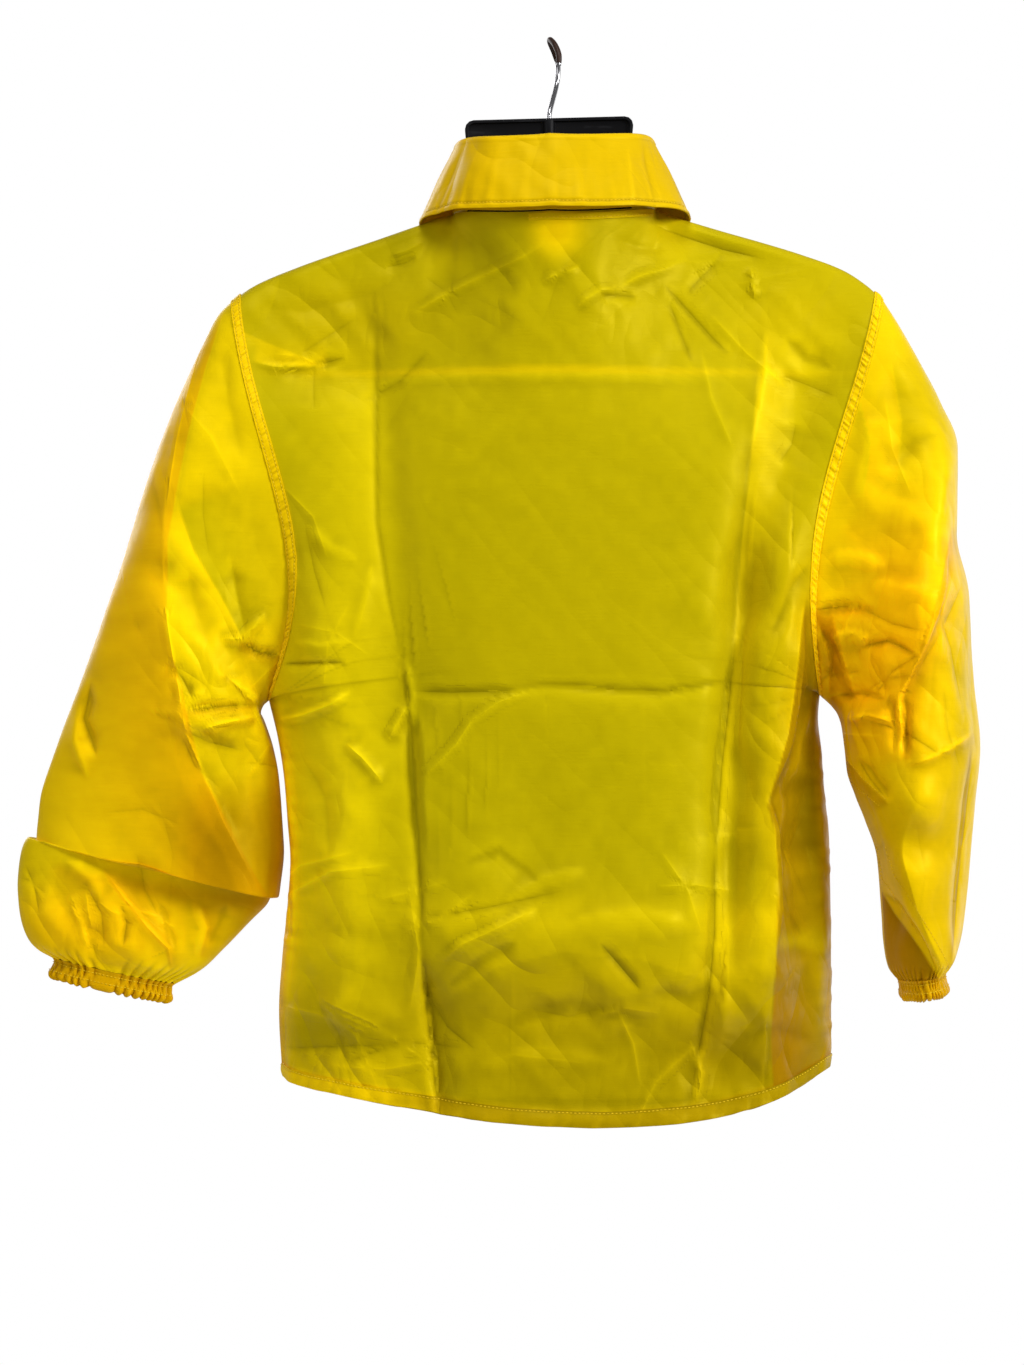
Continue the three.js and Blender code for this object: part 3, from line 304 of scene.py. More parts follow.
# Creases. Each follows its points (pixels of the photo). Its crest stands lift proud, or is
# that deep below 0. It falls away over the first width on the side that is left or below as
# seen from behind, and over the second on the other side. edge is 1 for a sharp crest, 2 for a soft one.
SEEN_CREASES = {
    "back": [
        ([(372, 285), (373, 400), (376, 520), (388, 600), (400, 655)], -1, 4, 3, 1.2),
        ([(372, 285), (373, 400), (376, 520), (388, 600), (400, 655)], -0.7, 26, 18, 1),
        ([(398, 640), (406, 690), (413, 800), (421, 900), (424, 965)], -1.8, 4, 2.5, 1.2),
        ([(398, 640), (406, 690), (413, 800), (421, 900), (424, 965)], -1.2, 22, 14, 1),
        ([(421, 945), (425, 1000), (431, 1050), (441, 1130)], -6, 2.4, 16, 1),
        ([(404, 655), (412, 695), (410, 735)], 2.6, 6, 5, 1.4),
        ([(385, 742), (398, 722), (411, 698)], 2.4, 5, 5, 1.2),
        ([(343, 742), (362, 758), (384, 785)], 2.4, 6, 6, 1.2),
        ([(420, 700), (424, 760), (430, 860)], 2.2, 5, 16, 1.5),
        ([(762, 395), (752, 470), (745, 540), (737, 640)], -2.6, 10, 10, 1.5),
        ([(738, 630), (731, 700), (723, 770), (716, 860)], -3.5, 16, 3, 1.1),
        ([(716, 840), (714, 930), (708, 1000), (698, 1060), (688, 1112)], -2, 16, 3, 1.1),
        ([(728, 900), (726, 980), (722, 1060)], 3.4, 8, 14, 1.6),
        ([(762, 600), (754, 680), (748, 780)], 4.5, 14, 14, 1.8),
        ([(806, 600), (800, 660), (796, 700), (790, 735), (768, 806)], 5, 20, 3, 1.2),
        ([(766, 790), (775, 825), (778, 870), (777, 905), (773, 965)], 5.5, 20, 2.6, 1.2),
        ([(790, 760), (800, 800), (804, 880)], -5, 10, 16, 1.6),
        ([(408, 691), (450, 692), (500, 691), (522, 690)], -1.3, 4, 4, 1.2),
        ([(515, 691), (545, 685), (600, 688), (660, 693), (732, 682)], -1.4, 3, 3, 1.2),
        ([(515, 691), (545, 685), (600, 688), (660, 693), (732, 682)], -1.6, 16, 12, 1),
        ([(412, 790), (432, 768), (455, 745), (470, 722), (500, 702), (545, 684)], 1.8, 14, 10, 1),
        ([(462, 862), (500, 850), (545, 884)], -1.2, 7, 4, 1.4),
        ([(500, 905), (540, 880), (590, 868)], 1.6, 8, 6, 1.5),
        ([(438, 962), (462, 942), (490, 930), (540, 905)], 2.6, 9, 5, 1.3),
        ([(445, 990), (480, 960), (520, 940)], -2, 8, 6, 1.5),
        ([(598, 940), (620, 965), (642, 992)], -1.8, 6, 5, 1.3),
        ([(560, 925), (640, 915), (700, 930)], 2.6, 16, 10, 1.8),
        ([(648, 990), (690, 1000), (722, 992)], -1.8, 10, 8, 1.6),
        ([(690, 1040), (702, 1075), (697, 1106)], 1.8, 5, 5, 1.3),
        ([(505, 1020), (570, 1005), (640, 1020)], -1.6, 12, 9, 1.7),
        ([(470, 1070), (540, 1050), (620, 1062)], 1.4, 10, 9, 1.7),
        ([(313, 379), (400, 375), (560, 375), (700, 376), (770, 375)], 0.25, 3.5, 3.5, 2.4),
        ([(277, 664), (310, 662), (347, 663)], -2, 5, 3.5, 1.1),
        ([(272, 722), (300, 716), (330, 705), (352, 690)], 2.6, 6, 4, 1.2),
        ([(290, 640), (320, 646), (352, 640)], 1.6, 6, 5, 1.4),
        ([(300, 760), (322, 800), (330, 860)], -1.6, 8, 8, 1.6),
        ([(352, 640), (364, 600), (372, 560)], 1.6, 7, 6, 1.5),
        ([(270, 370), (300, 362), (345, 350)], -1.4, 4, 3, 1.2),
        ([(250, 357), (270, 361), (290, 361), (322, 360)], 1.2, 3, 3, 1.2),
        ([(405, 310), (440, 290), (480, 272), (520, 255), (548, 238)], 1.5, 8, 5, 1.3),
        ([(250, 300), (300, 302), (372, 283), (404, 260)], -1.2, 8, 6, 1.5),
        ([(385, 246), (405, 240), (422, 231)], 1, 3.5, 3, 1.2),
        ([(380, 258), (400, 254), (416, 246)], -1.2, 3, 3, 1.2),
        ([(728, 242), (712, 262), (697, 277), (690, 290)], -1.1, 5, 4, 1.1),
        ([(665, 275), (699, 313), (716, 332), (735, 352)], -1.1, 5, 4, 1.1),
        ([(670, 294), (682, 322), (695, 361)], -0.8, 5, 4, 1.1),
        ([(756, 255), (759, 275), (760, 292)], 1.8, 4, 4, 1.2),
        ([(650, 211), (690, 226), (728, 239), (774, 250)], -1.6, 4, 4, 1.2),
        ([(700, 220), (740, 226), (790, 244)], 1.6, 5, 5, 1.4),
        ([(771, 320), (766, 374), (758, 420), (752, 462)], 1.6, 6, 6, 1.4),
        ([(790, 330), (812, 352), (840, 362)], -1.4, 6, 6, 1.5),
        ([(540, 280), (560, 270), (583, 262)], 1.4, 4, 3, 1.2),
        ([(576, 308), (587, 296), (602, 287), (617, 286)], 0.9, 3.5, 3, 1.1),
        ([(600, 292), (620, 291), (641, 292)], -0.9, 3, 2.6, 1.1),
        ([(620, 283), (642, 270), (666, 261), (693, 250)], 1.1, 5, 4, 1.2),
        ([(612, 232), (640, 240), (672, 240)], -1.2, 5, 4, 1.4),
        ([(470, 232), (500, 262), (520, 300)], -1, 12, 10, 1.8),
        ([(268, 470), (284, 530), (296, 580)], -1.6, 8, 7, 1.5),
        ([(300, 520), (330, 548), (360, 560)], 1.2, 8, 6, 1.5),
        ([(812, 560), (790, 596), (770, 640)], -2, 8, 8, 1.5),
        ([(800, 600), (780, 640), (760, 690)], 1.8, 6, 6, 1.5),
        ([(820, 700), (804, 740), (792, 800)], 1.8, 6, 6, 1.4),
        ([(640, 600), (700, 640), (735, 700)], -1.2, 16, 14, 1.8),
        ([(300, 900), (330, 930), (400, 940)], -1.4, 12, 12, 1.8),
        ([(300, 1010), (350, 1000), (410, 1020)], 1.6, 14, 12, 1.8),
        ([(740, 1040), (780, 1030), (822, 1048)], -1.6, 10, 10, 1.7),
        ([(735, 960), (780, 975), (822, 960)], 1.8, 12, 12, 1.7),
    ],
    "sleeve_left": [
        ([(165, 470), (167, 560), (170, 619), (188, 736), (222, 820), (264, 900)], 3.4, 26, 30, 1),
        ([(200, 330), (176, 440), (166, 520), (168, 620)], 1.6, 18, 20, 1),
        ([(150, 470), (165, 530), (172, 600)], -1.4, 10, 10, 1.6),
        ([(88, 680), (81, 720), (96, 757)], -3, 6, 6, 1.3),
        ([(76, 700), (72, 740), (86, 780)], 2, 6, 6, 1.4),
        ([(220, 640), (243, 638), (267, 612)], 3, 5, 4, 1.2),
        ([(240, 640), (256, 652), (286, 656)], -3, 5, 4, 1.2),
        ([(226, 676), (240, 688), (256, 705)], 3, 5, 4, 1.2),
        ([(183, 712), (210, 708), (253, 705)], -3.4, 5, 4, 1.2),
        ([(200, 730), (228, 722), (256, 717)], 3, 5, 4, 1.2),
        ([(196, 700), (186, 680), (168, 660)], -1.8, 6, 6, 1.3),
        ([(210, 650), (196, 600), (190, 560)], -1.8, 8, 8, 1.6),
        ([(232, 560), (240, 600), (246, 636)], -2.4, 7, 6, 1.4),
        ([(196, 745), (214, 790), (240, 840)], -1.4, 8, 8, 1.5),
        ([(100, 869), (119, 897), (145, 929), (165, 951), (168, 972)], 2.4, 6, 4, 1.2),
        ([(158, 904), (166, 931), (172, 956)], -1.8, 5, 5, 1.4),
        ([(44, 870), (60, 905), (84, 935), (112, 950)], -1.6, 8, 8, 1.6),
        ([(60, 860), (88, 880), (100, 905)], 1.8, 7, 7, 1.5),
        ([(190, 900), (200, 930), (190, 960)], 1.8, 6, 6, 1.4),
        ([(225, 905), (214, 930), (204, 950)], -1.6, 6, 6, 1.4),
        ([(120, 950), (124, 925), (118, 905)], -1.6, 5, 5, 1.3),
        ([(85, 952), (78, 925), (66, 905)], 1.6, 5, 5, 1.3),
        ([(110, 560), (104, 620), (96, 680)], 1.4, 14, 14, 1.8),
        ([(230, 330), (228, 400), (246, 470)], -1.8, 12, 10, 1.7),
        ([(205, 360), (196, 440), (180, 520)], 1.6, 12, 12, 1.8),
    ],
    "sleeve_right": [
        ([(950, 540), (934, 600), (922, 642), (900, 701), (896, 766)], 5, 18, 2.6, 1.2),
        ([(903, 690), (901, 725), (902, 757)], -3, 3.5, 3.5, 1.2),
        ([(892, 690), (893, 725), (892, 756)], -2.6, 4, 4, 1.2),
        ([(903, 766), (925, 758), (946, 750), (977, 733)], 1.8, 6, 5, 1.2),
        ([(976, 745), (969, 826), (963, 893), (955, 965)], -3.2, 4, 8, 1.2),
        ([(888, 838), (881, 880), (901, 918), (923, 951), (946, 984)], -6, 14, 2.4, 1.2),
        ([(860, 648), (886, 640), (916, 656)], -3.6, 6, 5, 1.2),
        ([(836, 620), (846, 660), (858, 700)], 2.6, 5, 5, 1.2),
        ([(838, 697), (862, 692), (889, 699)], -3.2, 5, 5, 1.2),
        ([(850, 720), (868, 716), (892, 722)], 2.2, 5, 5, 1.3),
        ([(830, 640), (850, 632), (872, 640)], 2.6, 6, 5, 1.3),
        ([(812, 610), (840, 606), (872, 606)], -2.4, 6, 5, 1.3),
        ([(820, 620), (834, 650), (834, 690)], -2.6, 5, 5, 1.3),
        ([(870, 580), (900, 592), (936, 600)], 2, 10, 8, 1.6),
        ([(880, 470), (916, 440), (948, 430)], -1.4, 12, 10, 1.7),
        ([(845, 470), (880, 500), (930, 520)], 1.6, 14, 12, 1.8),
        ([(890, 360), (905, 420), (900, 480)], -1.8, 12, 12, 1.7),
        ([(862, 400), (870, 440), (862, 490)], 1.6, 10, 10, 1.6),
        ([(820, 560), (850, 556), (890, 566)], 1.8, 8, 8, 1.5),
        ([(935, 640), (930, 700), (925, 745)], -1.6, 10, 10, 1.6),
        ([(930, 780), (922, 850), (925, 930)], 1.6, 12, 12, 1.8),
        ([(900, 860), (912, 900), (930, 945)], -1.6, 7, 7, 1.5),
        ([(860, 757), (872, 780), (888, 800)], -2.4, 5, 5, 1.3),
    ],
}

# The same for the hidden sides, by places (x, z) in millimetres
CREASES = {
    "front": [
        ([(128, -200), (126, -330), (112, -460), (104, -560)], -2.2, 10, 6, 1.3),
        ([(104, -540), (98, -640), (92, -720), (88, -800)], -5, 12, 5, 1.2),
        ([(-132, -215), (-128, -330), (-118, -470), (-108, -600)], -2.6, 6, 12, 1.3),
        ([(-110, -580), (-104, -680), (-98, -800)], -5.5, 5, 12, 1.2),
        ([(196, -480), (168, -500), (132, -506)], -3, 5, 5, 1.2),
        ([(198, -505), (170, -540), (150, -590)], 2.6, 6, 6, 1.3),
        ([(-198, -478), (-168, -500), (-130, -508)], -3, 5, 5, 1.2),
        ([(-200, -510), (-172, -550), (-150, -610)], 2.8, 6, 6, 1.3),
        ([(60, -480), (30, -486), (18, -492)], -1.8, 6, 5, 1.3),
        ([(-24, -505), (-60, -498), (-96, -486)], -1.8, 6, 5, 1.3),
        ([(92, -620), (60, -600), (24, -590)], 2, 8, 8, 1.5),
        ([(-30, -640), (-64, -650), (-100, -690)], 2, 8, 8, 1.5),
        ([(150, -700), (110, -690), (60, -712)], -2, 12, 10, 1.7),
        ([(-60, -720), (-110, -700), (-160, -716)], 2, 12, 10, 1.7),
        ([(190, -250), (150, -262), (110, -300)], -2.4, 6, 6, 1.4),
        ([(-196, -252), (-150, -270), (-112, -312)], -2.4, 6, 6, 1.4),
        ([(86, -190), (100, -240), (96, -300)], 1.8, 8, 8, 1.6),
        ([(-92, -192), (-104, -240), (-100, -300)], 1.8, 8, 8, 1.6),
    ],
    "sleeve_front": [
        ([(250, -300), (262, -400), (272, -470)], -3, 10, 8, 1.5),
        ([(214, -470), (240, -480), (262, -470)], 3, 5, 5, 1.2),
        ([(212, -500), (238, -510), (270, -500)], -3.4, 6, 5, 1.2),
        ([(212, -528), (240, -536), (276, -540)], 3, 6, 6, 1.3),
        ([(300, -470), (316, -540), (330, -590)], 2.4, 10, 10, 1.6),
        ([(240, -600), (280, -616), (330, -622)], -2.6, 7, 6, 1.3),
        ([(290, -650), (310, -680), (316, -700)], 2, 6, 6, 1.4),
        ([(-214, -440), (-244, -450), (-272, -440)], 3, 5, 5, 1.2),
        ([(-214, -480), (-244, -490), (-280, -480)], -3.4, 6, 5, 1.2),
        ([(-222, -520), (-250, -528), (-290, -520)], 3, 6, 6, 1.3),
        ([(-262, -300), (-272, -390), (-284, -450)], -2.6, 12, 12, 1.6),
        ([(-244, -572), (-266, -580), (-300, -576)], -3, 6, 6, 1.3),
        ([(-286, -600), (-290, -650), (-284, -690)], 2.4, 8, 8, 1.5),
    ],
}

# Zones of small creases: centre, half sizes, how many, direction and its scatter in degrees, length
# and height
CREASE_ZONES = {
    "back": [
        (-20, -200, 150, 34, 5, 20, 40, 70, 0.5),
        (150, -260, 50, 60, 4, 10, 50, 60, 0.8),
        (-160, -270, 50, 70, 4, 60, 40, 60, 0.8),
        (165, -430, 30, 90, 4, 70, 30, 80, 0.8),
        (165, -640, 30, 110, 5, 60, 40, 70, 1),
        (-180, -560, 20, 160, 5, 80, 25, 70, 1),
        (0, -670, 110, 50, 7, 10, 40, 80, 1.1),
        (0, -750, 180, 40, 11, 5, 35, 80, 1.3),
    ],
    "front": [
        (0, -240, 190, 60, 10, 20, 50, 70, 1),
        (0, -480, 190, 120, 12, 60, 50, 80, 1),
        (0, -710, 190, 70, 13, 10, 40, 80, 1.2),
    ],
    "sleeve_left": [
        (310, -580, 60, 50, 3, 60, 40, 70, 0.6),
        (240, -490, 40, 60, 6, 20, 40, 44, 1.2),
        (330, -650, 70, 34, 9, 70, 40, 50, 1),
        (280, -380, 50, 90, 4, 80, 30, 80, 0.8),
    ],
    "sleeve_right": [
        (-236, -470, 30, 60, 8, 10, 40, 44, 1.3),
        (-280, -420, 30, 120, 6, 70, 30, 70, 1),
        (-285, -620, 30, 70, 3, 75, 30, 60, 0.6),
    ],
    "sleeve_front": [
        (300, -470, 80, 140, 10, 60, 40, 60, 1),
        (-270, -460, 50, 140, 10, 60, 40, 60, 1),
        (330, -650, 70, 34, 7, 70, 40, 50, 1),
    ],
}

# Places where the cloth lies doubled, where painted light and shade fall on it, or where it is crumpled:
# centre, half sizes, how doubled (also more orange where shade is painted), how much lighter it is painted
# (below 0 for painted shade), how crumpled
TONES = {
    "back": [
        (160, -215, 70, 40, 0.1, -0.13, 0.3),
        (-140, -215, 90, 40, 0, -0.03, 0.2),
        (0, -195, 200, 44, 0.02, -0.05, 0.25),
        (-180, -230, 50, 50, 0.12, 0.08, 0.2),
        (78, -150, 22, 24, 0.05, 0.3, -0.2),
        (-90, -146, 20, 22, 0.05, 0.3, -0.2),
        (34, -152, 26, 16, 0, 0.12, 0),
        (-54, -150, 22, 16, 0, 0.1, 0),
        (-40, -650, 160, 16, 0.04, 0.12, 0),
        (-30, -706, 150, 32, 0.12, -0.12, 0.2),
        (150, -360, 46, 130, 0.02, 0.18, 0),
        (168, -580, 44, 140, 0.12, 0.48, 0.3),
        (160, -735, 70, 30, 0.12, -0.3, 0.2),
        (200, -680, 14, 130, 0.3, 0.1, 0.2),
        (-170, -500, 36, 190, 0.14, -0.22, 0.3),
        (-182, -640, 36, 190, 0.1, -0.12, 0.1),
        (0, -680, 220, 60, 0.1, -0.07, 0.2),
        (-60, -765, 170, 50, 0.24, -0.28, 0.3),
        (160, -775, 60, 24, 0.3, 0.2, 0.6),
        (-150, -745, 60, 50, 0.25, -0.2, 0.2),
        (-140, -668, 30, 30, 0.1, 0.16, 0),
        (0, -250, 172, 3.4, 0.3, 0.03, 0),
        (-6, -148, 19, 19, 0.5, 0.2, 0),
    ],
    "front": [
        (0, -480, 260, 400, 0, 0, 0.4),
    ],
    "sleeve_left": [
        (270, -330, 60, 120, 0, 0.05, -0.08),
        (300, -440, 60, 110, 0, 0.16, 0),
        (240, -490, 40, 60, 0, 0, 0.8),
        (350, -560, 60, 80, -0.06, 0.16, -0.1),
        (330, -460, 60, 120, 0, 0, -0.14),
        (230, -600, 40, 50, 0.34, -0.5, 0),
        (330, -660, 80, 36, 0.4, 0.16, 0.2),
    ],
    "sleeve_right": [
        (-290, -270, 50, 60, -0.1, -0.16, -0.1),
        (-262, -400, 40, 80, 0.16, 0.26, 0.1),
        (-238, -480, 40, 70, 0.24, 0.14, 0.5),
        (-306, -470, 16, 120, 0, -0.14, 0),
        (-290, -620, 40, 90, 0.06, -0.06, -0.06),
    ],
}

# Lines where two planes of the cloth meet, each plane with its painted light and shade. Each has, for the
# side that is left or below as seen from behind and then for the other side, how far the plane reaches, how
# doubled it is (also more orange where shade is painted) and how much lighter it is painted (below 0 for
# painted shade).
SEEN_SHADES = {
    "back": [
        ([(372, 320), (373, 400), (376, 520), (388, 600), (400, 668)], (46, 0.04, 0.04), (5, 0, -0.07)),
        ([(402, 640), (408, 740), (413, 800), (421, 900), (424, 975)], (24, 0.04, 0.05), (4, 0, -0.14)),
        ([(421, 940), (425, 1000), (431, 1050), (441, 1140)], (22, 0.05, 0.08), (4, 0.2, -0.34)),
        ([(424, 950), (428, 1000), (436, 1050), (448, 1140)], (1, 0, 0), (26, 0, -0.12)),
        ([(764, 340), (752, 470), (745, 540), (737, 640), (731, 700), (723, 770),
         (718, 860)], (5, 0, -0.06), (26, 0.14, 0.1)),
        ([(718, 830), (716, 930), (708, 1000), (698, 1060), (688, 1124)], (8, 0, -0.09), (18, 0.06, 0.06)),
        ([(812, 580), (804, 630), (797, 700), (790, 735), (768, 806), (775, 830), (778, 870),
         (777, 905), (774, 960)], (14, 0.2, 0.02), (70, 0.5, -0.46)),
        ([(777, 940), (773, 985), (772, 1040), (778, 1120)], (10, 0, 0), (70, 0.5, -0.44)),
        ([(404, 691), (450, 692), (500, 691), (545, 685), (600, 688), (660, 693),
         (736, 682)], (10, 0, 0.05), (5, 0, -0.10)),
        ([(410, 792), (432, 768), (455, 745), (470, 722), (500, 702), (550, 682)], (12, 0, 0.05),
         (12, 0, -0.07)),
        ([(438, 965), (462, 942), (490, 930), (520, 900)], (6, 0, -0.08), (10, 0, 0.05)),
        ([(445, 1000), (500, 965), (560, 950), (640, 958), (720, 985)], (16, 0, -0.07), (12, 0, 0.05)),
        ([(505, 1030), (570, 1010), (650, 1028)], (14, 0, 0.07), (10, 0, -0.06)),
        ([(246, 356), (270, 360), (290, 360), (326, 360)], (3, 0, -0.08), (12, 0.26, 0.03)),
        ([(232, 322), (262, 336), (300, 352), (326, 362)], (10, 0.2, 0.03), (4, 0, 0)),
        ([(385, 742), (398, 722), (411, 698)], (5, 0, 0.07), (5, 0, -0.08)),
        ([(343, 742), (362, 758), (384, 785)], (5, 0, 0.08), (6, 0, -0.08)),
        ([(277, 664), (310, 662), (350, 663)], (4, 0, -0.14), (6, 0, 0.06)),
        ([(272, 722), (300, 716), (330, 705), (352, 690)], (6, 0, -0.08), (6, 0, 0.08)),
        ([(728, 242), (712, 262), (697, 277), (690, 290)], (5, 0, 0.07), (4, 0, -0.12)),
        ([(665, 275), (699, 313), (716, 332), (735, 352)], (5, 0, -0.1), (5, 0, 0.07)),
        ([(620, 286), (642, 272), (666, 262), (693, 250)], (4, 0, -0.1), (6, 0, 0.08)),
        ([(576, 308), (587, 296), (602, 287), (622, 286)], (3, 0, -0.08), (3, 0, 0.06)),
        ([(405, 310), (440, 290), (480, 272), (520, 255), (548, 238)], (8, 0, -0.05), (8, 0, 0.05)),
        ([(385, 246), (405, 240), (424, 230)], (4, 0, -0.12), (4, 0, 0.08)),
        ([(650, 211), (690, 226), (728, 239), (774, 250)], (5, 0, -0.08), (4, 0, 0.06)),
        ([(771, 320), (766, 374), (758, 420), (752, 462)], (8, 0, -0.04), (10, 0.1, 0.05)),
        ([(812, 560), (790, 596), (770, 640)], (6, 0, 0.07), (6, 0, -0.08)),
    ],
    "sleeve_left": [
        ([(228, 290), (205, 366), (188, 436), (176, 500), (170, 541), (170, 632), (184, 688),
         (202, 772), (251, 870), (282, 925)], (170, 0.42, 0), (34, 0.02, 0.02)),
        ([(178, 500), (195, 551), (223, 597), (246, 642)], (14, 0.1, 0.1), (44, -0.3, -0.06)),
        ([(230, 552), (240, 600), (247, 640)], (6, 0, 0.08), (10, 0.1, -0.16)),
        ([(240, 640), (256, 652), (290, 657)], (9, 0.3, -0.34), (5, 0, 0.08)),
        ([(183, 712), (210, 708), (258, 705)], (9, 0.3, -0.22), (8, 0, 0.14)),
        ([(200, 732), (228, 723), (258, 717)], (7, 0.2, -0.12), (5, 0, 0.1)),
        ([(224, 672), (240, 688), (258, 706)], (5, 0.2, -0.2), (7, 0, 0.12)),
        ([(88, 672), (81, 720), (96, 762)], (6, 0, 0.05), (8, 0, -0.12)),
        ([(150, 460), (165, 530), (174, 606)], (5, 0, -0.08), (8, 0, 0.05)),
        ([(286, 700), (292, 780), (290, 860), (280, 905)], (16, 0.1, -0.06), (6, 0.3, -0.2)),
    ],
    "sleeve_left_low": [
        ([(98, 866), (119, 897), (145, 929), (165, 951), (168, 976)], (9, 0, 0.07), (6, 0.2, -0.2)),
        ([(158, 900), (166, 931), (172, 960)], (6, 0, -0.1), (6, 0, 0.08)),
        ([(44, 870), (60, 905), (84, 935), (112, 952)], (8, 0, -0.06), (8, 0, 0.06)),
        ([(200, 905), (206, 930), (196, 962)], (7, 0, 0.08), (7, 0.2, -0.1)),
        ([(36, 866), (90, 880), (160, 890), (250, 905), (285, 912)], (8, 0.2, -0.16), (8, 0.2, -0.16)),
    ],
    "sleeve_right": [
        ([(955, 520), (931, 604), (903, 688), (899, 772)], (34, 0.2, 0.12), (10, 0.3, -0.24)),
        ([(900, 764), (925, 758), (946, 750), (980, 732)], (7, 0.1, -0.14), (10, 0, 0.07)),
        ([(975, 742), (969, 826), (963, 893), (954, 975)], (3, 0.2, -0.3), (12, 0, 0.1)),
        ([(884, 846), (881, 880), (901, 918), (923, 951), (948, 990)], (70, 0.5, -0.5), (10, 0, 0.08)),
        ([(856, 650), (886, 640), (920, 657)], (9, 0.2, -0.16), (8, 0, 0.1)),
        ([(834, 698), (862, 692), (892, 699)], (8, 0.3, -0.2), (8, 0, 0.1)),
        ([(834, 612), (846, 660), (860, 704)], (7, 0.3, -0.24), (8, 0, 0.12)),
        ([(818, 612), (834, 650), (836, 696)], (7, 0, 0.08), (6, 0.3, -0.26)),
        ([(806, 610), (840, 606), (876, 606)], (8, 0.3, -0.2), (6, 0, 0.08)),
        ([(903, 684), (901, 725), (902, 762)], (8, 0, 0.12), (5, 0.3, -0.2)),
        ([(845, 520), (880, 560), (916, 590), (940, 600)], (10, 0.1, 0.08), (12, 0.1, -0.06)),
        ([(850, 722), (868, 716), (896, 722)], (7, 0.2, -0.14), (6, 0, 0.1)),
        ([(846, 752), (866, 780), (890, 806)], (9, 0.2, -0.26), (6, 0, 0.1)),
        ([(895, 352), (905, 420), (898, 486)], (12, 0.08, 0.05), (14, -0.1, -0.04)),
        ([(862, 392), (874, 440), (866, 500)], (12, -0.12, -0.04), (12, 0.1, 0.06)),
        ([(948, 520), (962, 560), (968, 640)], (10, 0, 0.06), (10, 0, -0.06)),
    ],
}

# How doubled each part is where no patch or line changes it, and the darkest that painted shade makes a plane
BASE_TONES = {"back": 0.04, "front": 0.3, "sleeve_left": 0.42, "sleeve_right": 0.56}
PANEL_CRUSH, SLEEVE_CRUSH = 0.12, 0.22
DARKEST = 0.42

# Rows of stitches of the right sleeve's underarm seam, over the flat view
UNDERARM_SEAMS = [
    [(-211, -523), (-220, -534), (-231, -550), (-246, -565)],
    [(-205, -528), (-214, -539), (-226, -555), (-242, -570)],
    [(-242, -604), (-247, -624), (-261, -648), (-277, -673), (-292, -696)],
    [(-248, -602), (-253, -621), (-267, -644), (-282, -668), (-295, -690)],
]


def from_photo(rows, depth):
    """The same rows with their pixels turned into places (x, z) at a depth, in millimetres."""
    nearer = CAMERA_AWAY / (CAMERA_AWAY - depth * MM)
    across, down = CAMERA_SIDEWAYS / MM, -CAMERA_DROP / MM

    def place(pixel_x, pixel_y):
        x = across + ((MOUNT_PIXEL[0] - pixel_x) * PIXEL - across) / nearer
        z = down + ((MOUNT_PIXEL[1] - pixel_y) * PIXEL - down) / nearer
        return round(x), round(z)

    return [([place(*pixel) for pixel in points], *rest) for points, *rest in rows]


CREASES.update((part, from_photo(rows, LINE_DEPTHS[part])) for part, rows in SEEN_CREASES.items())
SHADES = {part: from_photo(rows, LINE_DEPTHS[part]) for part, rows in SEEN_SHADES.items()}


def smooth(x, low, high):
    t = np.clip((x - low) / (high - low), 0, 1)
    return t * t * (3 - 2 * t)


def lerp(a, b, t):
    return a + (b - a) * t


def read(rows, key, name, at):
    """A column of a table at places between its rows, by monotone cubic interpolation."""
    place, value = rows[key], rows[name]
    at = np.asarray(at, float)
    if place[1] < place[0]:
        place, at = -place, -at
    at = np.clip(at, place[0], place[-1])
    i = np.clip(np.searchsorted(place, at, side="right") - 1, 0, len(place) - 2)
    slope = np.diff(value) / np.diff(place)
    tangent = np.concatenate([slope[:1], np.zeros(len(place) - 2), slope[-1:]])
    a, b = slope[:-1], slope[1:]
    same = a * b > 0
    tangent[1:-1] = np.where(same, 2 * a * b / np.where(same, a + b, 1), 0)
    h = place[i + 1] - place[i]
    s = (at - place[i]) / h
    s2, s3 = s * s, s * s * s
    ends = (2 * s3 - 3 * s2 + 1) * value[i] + (-2 * s3 + 3 * s2) * value[i + 1]
    return ends + (s3 - 2 * s2 + s) * h * tangent[i] + (s3 - s2) * h * tangent[i + 1]


def arch(share, peak, soft):
    """Height of a ring's arch at a share of its width: 0 at its edges, 1 at its peak."""
    rise = np.where(share < peak, share / peak, (1 - share) / (1 - peak))
    return (1 - (1 - np.clip(rise, 0, 1)) ** soft) ** (1 / soft)


def fold_lift(folds, x, z):
    total = np.zeros_like(x)
    for x0, z0, x1, z1, lift, towards_left, towards_right in folds:
        dx, dz = x1 - x0, z1 - z0
        long = math.hypot(dx, dz)
        along = ((x - x0) * dx + (z - z0) * dz) / long
        off = ((x - x0) * dz - (z - z0) * dx) / long
        side = off * (math.copysign(1, dz) if dz else -1) > 0
        wide = np.where(side, towards_left, towards_right)
        past = np.maximum(0, np.maximum(-along, along - long))
        total += lift * np.exp(-((off / wide) ** 2) - (past / (1.5 * wide)) ** 2)
    return total


